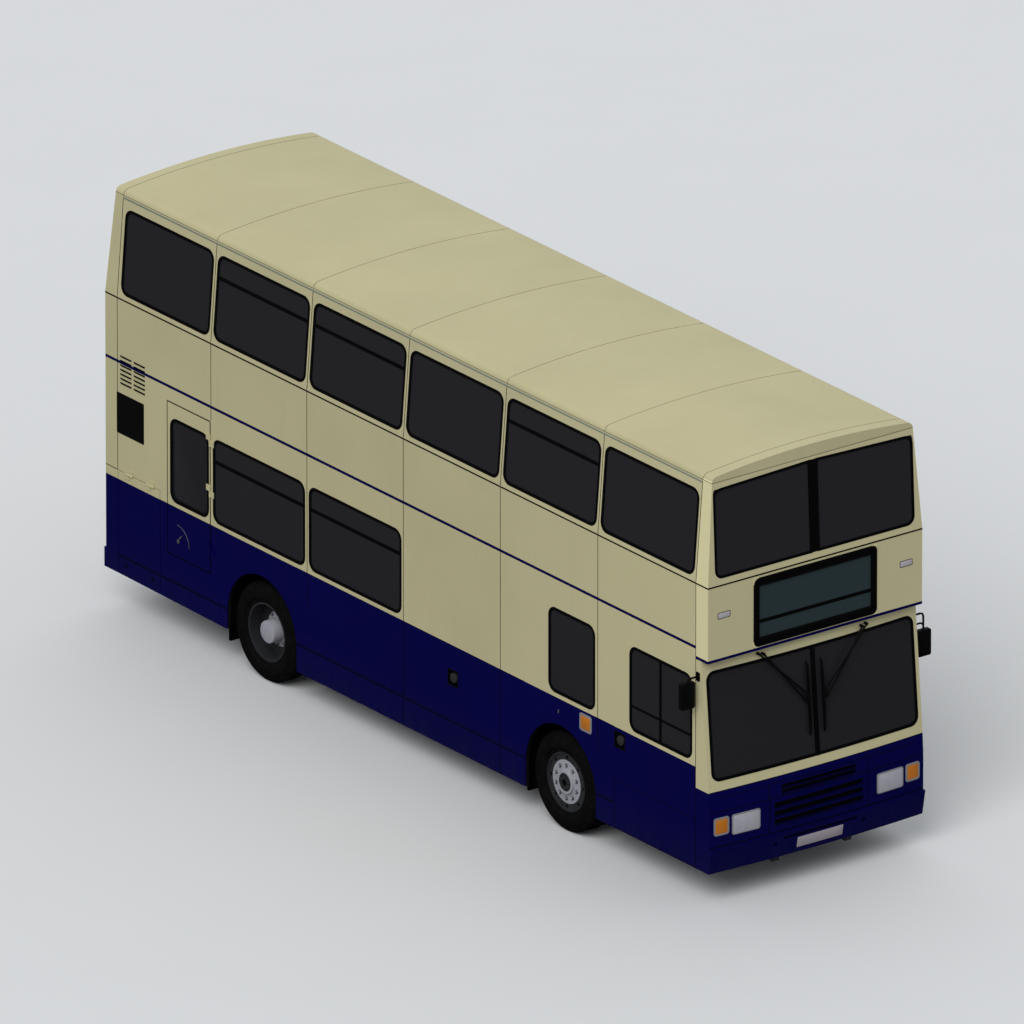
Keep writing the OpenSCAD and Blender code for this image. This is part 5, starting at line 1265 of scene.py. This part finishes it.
for side, name in SIDES:
    disc, nuts, holes, hub, rear_nuts = Group(), Group(), Group(), Group(), Group()
    front, rear = wheel_frame(side, FRONT_AXLE), wheel_frame(side, REAR_AXLE)
    disc.add(lathe(FRONT_DISC, 72, True), front)
    disc.add(lathe(FRONT_FLANGE, 72, True), front)
    hub.add(lathe(REAR_HUB, 64, True), rear)
    hub.add(drum(0.1100, 1.2035, 1.2100, 64, 0.004), rear)
    hub.add(lathe(REAR_FLANGE, 72, True), rear)
    for spoke in around(NUTS, 0.168, 0.5):
        nuts.add(drum(0.0215, 1.2015, 1.2045, 24, 0.001), front @ spoke)
        nuts.add(drum(0.0160, 1.2045, 1.2190, 6, 0.0015), front @ spoke)
        disc.add(drum(0.0095, 1.2185, 1.2250, 16, 0.001), front @ spoke)
    for spoke in around(NUTS, 0.150, 0.5):
        rear_nuts.add(drum(0.0150, 1.0690, 1.0850, 6, 0.0015), rear @ spoke)
        rear_nuts.add(drum(0.0085, 1.0850, 1.0920, 16, 0.001), rear @ spoke)
    # Each hand hole is a thin black disc on the rim: painted shade where a real hole shows the dark inside of the
    # wheel.
    for spoke in around(HAND_HOLES, 0.249):
        holes.add(drum(0.0165, 1.1955, 1.1968, 24, 0), front @ spoke)
    for spoke in around(HUB_BOLTS, 0.066):
        holes.add(drum(0.0075, 1.2295, 1.2345, 6, 0.001), front @ spoke)
    holes.add(drum(0.034, 1.2295, 1.2340, 32, 0.002), front)
    nuts.add(tube([(0.235, 0, 1.196), (0.238, 0, 1.205), (0.252, 0, 1.216)], 0.004, 8), front)
    for piece, group, finish, wheels, slot in (
            ("wheel_disc_front", disc, wheel_silver, "front_wheel", "wheel_silver"),
            ("wheel_nuts_front", nuts, worn_steel, "front_wheel", "wheel_silver"),
            ("hub_details_front", holes, black_moulding, "front_wheel", "black_plastic"),
            ("wheel_hub_rear", hub, wheel_silver, "rear_wheels", "wheel_silver"),
            ("wheel_nuts_rear", rear_nuts, worn_steel, "rear_wheels", "wheel_silver")):
        group.make(f"{piece}_{name}", finish, f"{wheels}_{name}", slot=slot, smooth=30)

# %% [markdown]
# ## Seats
# Each double seat has two foam cushions and two foam backs in moquette, in front of a
# hard shell. The foam is made the way an upholsterer meets it: a plain block is
# blown up inside its cover by a short cloth run, held flat where it rests, and the
# same cushion is then set out along both decks. Piping closes the cover all round.


# %% Foam masters
WEAVE, SWELL_FRAMES, SEATED, FOAM_FACES = 0.013, 20, 0.012, 700


def foam(name, width, depth, height, swell):
    """A stuffed cover, width by depth by height, standing on the XY plane round its centre."""
    inset = swell * 0.55
    bm = bmesh.new()
    bmesh.ops.create_cube(bm, size=1.0)
    bmesh.ops.scale(bm, vec=(width - 2 * inset, depth - 2 * inset, height - inset), verts=bm.verts)
    bmesh.ops.translate(bm, vec=(0, 0, (height - inset) / 2), verts=bm.verts)
    bmesh.ops.bevel(bm, geom=bm.edges[:], offset=0.016, segments=3, affect="EDGES", **ROUND)
    mesh = bpy.data.meshes.new(name)
    bm.to_mesh(mesh)
    bm.free()
    cover = new_object(name, mesh)
    remesh = cover.modifiers.new("even weave", "REMESH")
    remesh.mode, remesh.voxel_size = "VOXEL", WEAVE
    bake(cover)
    rest = [v.co.copy() for v in cover.data.vertices]
    cloth = cover.modifiers.new("cover", "CLOTH")
    cloth.settings.use_pressure = True
    cloth.settings.uniform_pressure_force = 4.0
    cloth.settings.effector_weights.gravity = 0.0
    cloth.settings.quality = 5
    cloth.collision_settings.use_collision = False
    for tick in range(1, SWELL_FRAMES + 1):
        bpy.context.scene.frame_set(tick)
    bake(cover)
    bpy.context.scene.frame_set(1)
    half_w, half_d = width / 2, depth / 2
    for v, start in zip(cover.data.vertices, rest):
        move = v.co - start
        if move.length > swell:
            move *= swell / move.length
        co = start + move
        co.x, co.y = max(-half_w, min(half_w, co.x)), max(-half_d, min(half_d, co.y))
        co.z = max(0.0, min(height, co.z)) if start.z > SEATED else 0.0
        v.co = co
    thin = cover.modifiers.new("even mesh", "DECIMATE")
    thin.ratio = min(1.0, FOAM_FACES / len(cover.data.polygons))
    bake(cover)
    made = cover.data
    bpy.data.objects.remove(cover)
    print(f"{name}: {len(made.polygons)} faces")
    return made


def bake(piece):
    """Replaces the mesh by what its modifiers make of it."""
    solved = bpy.data.meshes.new_from_object(piece.evaluated_get(bpy.context.evaluated_depsgraph_get()))
    piece.modifiers.clear()
    piece.data = solved


def copy_of(mesh, scale=(1, 1, 1)):
    bm = bmesh.new()
    bm.from_mesh(mesh)
    bmesh.ops.scale(bm, vec=scale, verts=bm.verts)
    return bm


PLACE_W, SEAT_DEPTH, SEAT_BASE, CUSHION_H = 0.436, 0.425, 0.32, 0.108
BACK_H, BACK_T, BACK_LEAN = 0.600, 0.056, atan(0.06 / 0.64)
cushion_foam = foam("cushion_foam", PLACE_W, SEAT_DEPTH, CUSHION_H, 0.016)
back_foam = foam("back_foam", PLACE_W, BACK_H, BACK_T, 0.012)

# %% [markdown]
# ## Setting out the seats
# Rows stand along both decks at a steady pitch, with benches over the rear wheels. Each
# row is a place on the floor, and cushions, backs, shell, piping and grip are copied
# there. The copies on one deck are joined, so a deck has five pieces.

# %% Seats on both decks
SEAT_X = (0.325, 1.205)
PITCH, FIRST_ROW = 0.76, 0.42
rows = [(1, FIRST_ROW + i * PITCH, "upper") for i in range(12)]
rows += [(-1, FIRST_ROW + i * PITCH, "upper") for i in (0, 1, 2, 6, 7, 8, 9, 10, 11)]
rows += [(1, s, "saloon") for s in (3.00, 3.76, 4.52, 5.28)] + [(-1, s, "saloon") for s in (4.90, 5.62)]
rows += [(1, 8.02, "rear")]


def piping_loop(width, height, radius, lift, thickness=0.0035):
    """A thin cord round a rounded rectangle, at one height."""
    points = []
    for cx, cy, start in ((1, 1, 0), (-1, 1, 90), (-1, -1, 180), (1, -1, 270)):
        for step in range(4):
            a = radians(start + 30 * step)
            points.append((cx * (width / 2 - radius) + radius * cos(a),
                           cy * (height / 2 - radius) + radius * sin(a), lift))
    return tube(points, thickness, 5, True)


for deck in ("upper", "lower"):
    cushions, backs, shells, piping, handles = Group(), Group(), Group(), Group(), Group()
    for side, s, floor_name in rows:
        if (floor_name == "upper") != (deck == "upper"):
            continue
        z = FLOOR[floor_name] + SEAT_BASE
        lean = place_at((0, at(s + 0.480), z), upward=(0, sin(BACK_LEAN), cos(BACK_LEAN)))
        for x in (SEAT_X[0] + PLACE_W / 2 + 0.002, SEAT_X[1] - PLACE_W / 2 - 0.002):
            seat_at = shift(side * x, at(s + 0.004 + SEAT_DEPTH / 2), z + 0.0005)
            back_at = shift(side * x, 0, 0) @ lean @ shift(0, 0.030 + BACK_H / 2, 0.012)
            cushions.add(copy_of(cushion_foam), seat_at)
            backs.add(copy_of(back_foam), back_at)
            piping.add(piping_loop(PLACE_W - 0.034, SEAT_DEPTH - 0.034, 0.052, 0.012), seat_at)
            piping.add(piping_loop(PLACE_W - 0.030, BACK_H - 0.030, 0.050, 0.006, 0.0032), back_at)
        middle = shift(side * sum(SEAT_X) / 2, 0, 0) @ lean
        shells.add(plate(0.874, 0.632, 0.050, -0.001, 0.0125, 0.004, 4), middle @ shift(0, 0.318, 0))
        aisle = side * (SEAT_X[0] + 0.05)
        grip = [(aisle, 0.560, -0.001), (aisle, 0.570, -0.020), (aisle, 0.640, -0.024), (aisle, 0.648, 0.0),
                (aisle + side * 0.16, 0.648, 0.0), (aisle + side * 0.16, 0.560, 0.004)]
        handles.add(tube([(x, y - 0.012, lift) for x, y, lift in grip], 0.0075, 8), lean)
    if deck == "lower":
        for side in (-1, 1):
            for s in (6.85, 7.25):
                bench_at = place_at((side * 0.9195, at(s), 1.1305), (0, side, 0), (-side, 0, 0))
                cushions.add(copy_of(cushion_foam, (0.39 / PLACE_W, 0.565 / SEAT_DEPTH, 1)), bench_at)
                piping.add(piping_loop(0.358, 0.533, 0.048, 0.012), bench_at)
    padded = [cushions.make(f"seat_cushions_{deck}", seat_cloth, slot="seat_cloth", stands_for=("passenger_seats",)),
              backs.make(f"seat_backs_{deck}", seat_cloth, slot="seat_cloth", stands_for=("passenger_seats",))]
    shells.make(f"seat_shells_{deck}", laminate, slot="seat_metal")
    piping.make(f"seat_piping_{deck}", seat_vinyl, slot="seat_cloth")
    handles.make(f"seat_handles_{deck}", rail_yellow, slot="rail_yellow")

# %% [markdown]
# ## Driver's seat
# The driver sits on a sprung seat: foam cushion and tall back in grained vinyl, on a
# bellows. The pads are the passengers' foam, stretched to the driver's larger sizes.

# %% Driver's seat
DRIVER_X, DRIVER_S, SADDLE_Z = -0.70, 0.90, 0.91
DRIVER_LEAN = atan(0.09 / 0.71)
BELLOWS_S, BELLOWS_Z, FOLD_H = 1.125, 0.63, 0.040
driver_at = shift(DRIVER_X, at(DRIVER_S + 0.245), SADDLE_Z + 0.001)
driver_back_at = place_at((DRIVER_X, at(DRIVER_S + 0.500), SADDLE_Z + 0.010),
                          upward=(0, sin(DRIVER_LEAN), cos(DRIVER_LEAN))) @ shift(0, 0.355, 0.008)
driver_pads, driver_frame = Group(), Group()
driver_pads.add(copy_of(cushion_foam, (0.47 / PLACE_W, 0.47 / SEAT_DEPTH, 0.115 / CUSHION_H)), driver_at)
driver_pads.add(copy_of(back_foam, (0.46 / PLACE_W, 0.68 / BACK_H, 0.070 / BACK_T)), driver_back_at)
driver_pads.make("driver_seat_pads", driver_vinyl, slot="seat_cloth", stands_for=("driver_seat",))
driver_frame.add(plate(0.45, 0.67, 0.05, -0.012, 0.0085, 0.004), driver_back_at)
for k in range(6):
    fold, z = 0.010 if k % 2 else 0.0, BELLOWS_Z + k * FOLD_H
    driver_frame.add(plate(0.27 + fold, 0.25 + fold, 0.02, z + 0.0005, z + FOLD_H - 0.0005, 0.012),
                     shift(DRIVER_X, at(BELLOWS_S), 0))
driver_frame.add(plate(0.29, 0.26, 0.01, 0.6205, 0.632, 0.003), shift(DRIVER_X, at(BELLOWS_S), 0))
driver_frame.add(plate(0.40, 0.36, 0.02, 0.870, 0.9085, 0.006), shift(DRIVER_X, at(1.140), 0))
driver_frame.make("driver_seat_frame", black_moulding, slot="black_plastic")

# %% [markdown]
# ## Dials, switches and lever
# The top of the console slopes towards the driver. One frame on that slope places the
# cowl, the four dials with their needles and the two rows of switches. All are blank.

# %% Dials, switches and lever
dials, dial_glass = Group(), Group()
SLOPE, CONSOLE_S, CONSOLE_Z, DIAL_S = atan(100 / 345), 0.420, 1.090, 0.300


def console(x, station):
    """The frame on the sloping top of the driver's console, upright to the driver."""
    z = CONSOLE_Z + (CONSOLE_S - station) * tan(SLOPE)
    return place_at((x, at(station), z), (-1, 0, 0), (0, -cos(SLOPE), sin(SLOPE)))


dials.add(bezel(0.520, 0.170, 0.03, 0.014, 0.0005, 0.022, 0.006), console(DRIVER_X, DIAL_S))
for x, r in ((-0.86, 0.034), (-0.765, 0.050), (-0.645, 0.050), (-0.545, 0.034)):
    dials.add(lathe([(r - 0.006, 0.0005), (r, 0.0005), (r, 0.011), (r - 0.003, 0.013), (r - 0.006, 0.010)], 40, True),
              console(x, DIAL_S))
    dial_glass.add(drum(r - 0.005, 0.0005, 0.007, 40, 0.001), console(x, DIAL_S))
    needle = bar(0.003, r * 0.7, 0.0075, 0.0085, 0)
    bmesh.ops.translate(needle, vec=(0, r * 0.3, 0), verts=needle.verts)
    dials.add(tilt(needle, 130, "Z"), console(x, DIAL_S))
for row, station in enumerate((0.140, 0.185)):
    for k in range(9):
        dials.add(plate(0.030, 0.026, 0.004, 0.0005, 0.012, 0.003, 2), console(-0.92 + k * 0.052, station))
dials.add(tube([(-0.700 + 0.04, at(0.56), 1.27), (-0.56, at(0.55), 1.275), (-0.51, at(0.545), 1.285)], 0.007, 8))
dials.make("dashboard_dials_and_switches", black_moulding, slot="black_plastic")
dial_glass.make("dial_faces", mottled("dial_face", (0.045, 0.047, 0.050), 0.25, 20.0, 0.2), slot="black_plastic")

# %% [markdown]
# ## Step nosings and ceiling lights
# Each step has a yellow strip along its edge, so that nobody misses it. The ceiling
# lights are long covers with rounded edges in two rows on each deck. The lower deck has
# none over the stairs.

# %% Deck fittings
treads, lights = Group(), Group()
STAIR_S, GOING, RISE, STAIR_X0, STAIR_X1 = 2.96, 0.205, 0.2089, -1.225, -0.645
nosings = [(STAIR_X1 - STAIR_X0, (STAIR_X0 + STAIR_X1) / 2, STAIR_S + k * GOING + 0.018,
            FLOOR["saloon"] + (k + 1) * RISE) for k in range(8)] + [(1.05, 0.45, 1.475, FLOOR["saloon"])]
for width, x, s, z in nosings:
    treads.add(bar(width, 0.030, 0.0005, 0.004, 0.0015), shift(x, at(s), z))
treads.make("step_nosings", rail_yellow, slot="rail_yellow")
for z, x, reach in ((2.460, 0.62, (2.2, 5.0, 7.6)), (4.205, 0.60, (1.4, 4.1, 6.8))):
    for s in reach:
        for side in (-1, 1):
            if z < 3 and side < 0 and s < 4.9:
                continue
            lights.add(plate(0.110, 1.20, 0.02, -0.034, -0.002, 0.010), shift(side * x, at(s + 0.6), z))
lights.make("ceiling_lights", plate_blank)

# %% [markdown]
# ## Underneath
# The frame, axles, tank and engine come from the engineering model. What a mechanic
# would also see from the pit is added here: gearbox and shaft, brake chambers,
# silencer and tailpipe, air reservoirs and tank straps. Most are turned or bent shapes.


# %% Driveline, exhaust and tanks
def along_y(x, station, z):
    """A frame whose Z runs rearwards, for turned parts that lie along the bus."""
    return place_at((x, at(station), z), (-1, 0, 0))


GEARBOX = ((0.0, 0.0), (0.075, 0.0), (0.085, 0.05), (0.135, 0.07), (0.150, 0.20), (0.165, 0.28), (0.0, 0.28))
CHAMBER = ((0.0, 0.0), (0.055, 0.0), (0.072, 0.03), (0.078, 0.06), (0.086, 0.065), (0.086, 0.075),
           (0.078, 0.08), (0.060, 0.14), (0.0, 0.14))
SILENCER = ((0.0, 0.0), (0.09, 0.0), (0.115, 0.015), (0.120, 0.04), (0.120, 0.66), (0.115, 0.685), (0.09, 0.70),
            (0.0, 0.70))
RESERVOIR = ((0.0, 0.0), (0.06, 0.008), (0.095, 0.03), (0.105, 0.06), (0.105, 0.46), (0.095, 0.49), (0.06, 0.512),
             (0.0, 0.52))
SHAFT_X, SILENCER_X, TAILPIPE_X = 0.10, -0.80, -0.98
castings, boxes, steel = Group(), Group(), Group()
castings.add(lathe(GEARBOX, 40), along_y(SHAFT_X, 8.42, 0.62))
castings.add(tube([(SHAFT_X, at(8.43), 0.62), (SHAFT_X, at(7.26), 0.50)], 0.038, 20))
for s, z in ((8.37, 0.614), (7.32, 0.506)):
    castings.add(drum(0.062, -0.03, 0.03, 24, 0.004), along_y(SHAFT_X, s, z))
for side in (-1, 1):
    castings.add(lathe(CHAMBER, 32), place_at((side * 0.40, at(REAR_AXLE + 0.27), 0.52), (0, side, 0)))
castings.make("driveline", cast_iron, slot="engine_grey")

downpipe = ((-0.615, 8.90, 0.55), (-0.70, 8.86, 0.53), (SILENCER_X, 8.72, 0.48), (SILENCER_X, 8.48, 0.46))
tailpipe = ((SILENCER_X, 7.82, 0.46), (SILENCER_X, 7.74, 0.46), (-0.95, 7.72, 0.40), (TAILPIPE_X, 7.80, 0.36),
            (TAILPIPE_X, 9.30, 0.36), (TAILPIPE_X, 9.46, 0.335))
steel.add(lathe(SILENCER, 40), along_y(SILENCER_X, 7.80, 0.46))
for pipe, radius, sides in ((downpipe, 0.036, 16), (tailpipe, 0.026, 14)):
    steel.add(tube([(x, at(s), z) for x, s, z in pipe], radius, sides))
for s in (4.46, 5.06):
    steel.add(lathe(RESERVOIR, 36), along_y(0.80, s, 0.44))
tank_low, tank_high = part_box("fuel_tank")
tank_size, tank_middle = tank_high - tank_low, (tank_low + tank_high) / 2
for share in (0.22, 0.78):
    band_at = place_at((tank_middle.x, tank_low.y + tank_size.y * share, tank_middle.z))
    steel.add(bezel(tank_size.x + 0.008, tank_size.z + 0.008, 0.052, 0.006, -0.022, 0.022, 0.002), band_at)
steel.make("exhaust_tanks_and_straps", worn_steel, slot="tank_metal")

# %% [markdown]
# ## Battery box, pipes and mudflaps
# The battery box hangs beside the frame on the kerb side. Pipes run in pairs along both
# frame rails, and a rubber flap hangs behind each wheel. They sit in shadow, so plain
# plates and tubes are enough.

# %% Battery box, pipes and mudflaps
battery_at = shift(0.86, at(6.02), 0)
boxes.add(plate(0.56, 0.62, 0.015, 0.345, 0.565, 0.010), battery_at)
boxes.add(plate(0.580, 0.640, 0.018, 0.520, 0.532, 0.003), battery_at)
for x, z in ((-0.375, 0.555), (-0.375, 0.530), (0.375, 0.555), (0.375, 0.530)):
    boxes.add(tube([(x, at(1.70), z), (x, at(6.40), z)], 0.007, 8))
for side in (-1, 1):
    for s in (FRONT_AXLE + 0.590, REAR_AXLE + 0.590):
        flap = place_at((side * 1.075, at(s), 0.370), (-1, 0, 0))
        boxes.add(plate(0.30, 0.30, 0.02, -0.004, 0.004, 0.001), flap)
        for x in (-0.11, 0.0, 0.11):
            boxes.add(drum(0.010, 0.003, 0.008, 12, 0.001), flap @ shift(x, 0.125, 0))
boxes.make("battery_box_pipes_and_mudflaps", black_moulding, slot="chassis_black")

# %% [markdown]
# ## Studio
# A pale floor, a soft even sky and one broad lamp high on the offside, with a weak one
# from behind. The roof gets the most light and the front the least, so the shape reads
# clearly. The floor is pale to the camera, and throws less light back under the bus
# than so pale a floor would.

# %% Floor, sky and lamps
floor_bm = bmesh.new()
bmesh.ops.create_grid(floor_bm, x_segments=1, y_segments=1, size=260)
floor_mesh = bpy.data.meshes.new("floor")
floor_bm.to_mesh(floor_mesh)
floor_bm.free()
floor = new_object("floor", floor_mesh)
floor_finish = Finish("studio_floor", (0.30, 0.30, 0.31), 0.9, Specular_IOR_Level=0.05)
RAYS = "Is Camera Ray", "Is Glossy Ray", "Is Transmission Ray"
seen, mirrored, through = floor_finish.node("ShaderNodeLightPath", out=RAYS)
seen = seen.math("MAXIMUM", through)
drift = floor_finish.noise(0.8)
pale = floor_finish.mix(drift, (0.850, 0.860, 0.875), (0.870, 0.880, 0.895))
thrown = floor_finish.mix(mirrored, (0.30, 0.30, 0.31), (0.14, 0.14, 0.145))
floor_finish.set(Base_Color=floor_finish.mix(seen, thrown, pale))
floor.data.materials.append(floor_finish.material)
floor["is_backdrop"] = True

scene = bpy.context.scene
scene.world = bpy.data.worlds.new("studio")
scene.world.use_nodes = True
sky_tree = scene.world.node_tree
sky = sky_tree.nodes["Background"]
light_path = sky_tree.nodes.new("ShaderNodeLightPath")
choice = sky_tree.nodes.new("ShaderNodeMix")
choice.data_type = "RGBA"
SKY_LIGHT, SKY_SEEN = (0.43, 0.445, 0.46, 1), (0.70, 0.71, 0.725, 1)
choice.inputs[6].default_value, choice.inputs[7].default_value = SKY_LIGHT, SKY_SEEN
sky_tree.links.new(light_path.outputs["Is Camera Ray"], choice.inputs["Factor"])
sky_tree.links.new(choice.outputs[2], sky.inputs["Color"])
scene.view_settings.view_transform = "Standard"


def sun(name, direction, strength, spread, color=(1, 1, 1)):
    light = bpy.data.lights.new(name, "SUN")
    light.energy, light.angle, light.color = strength, radians(spread), color
    made = new_object(name, light)
    made.rotation_mode = "QUATERNION"
    made.rotation_quaternion = Vector(direction).to_track_quat("Z", "Y")


sun("key", (-0.617, -0.367, 0.695), 1.28, 40, (1.0, 0.99, 0.97))
sun("fill", (0.50, 0.55, 0.70), 0.35, 60)

# %% [markdown]
# ## Sizes
# The boxes of the engineering model and of the dressed bus are printed side by side.
# The dressed bus has to fill the same box as the engineering model.

# %% Sizes and finish
dressed_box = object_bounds()
for title, box in (("model", model_box), ("dressed", dressed_box)):
    print(title, [[round(c, 4) for c in corner] for corner in box])
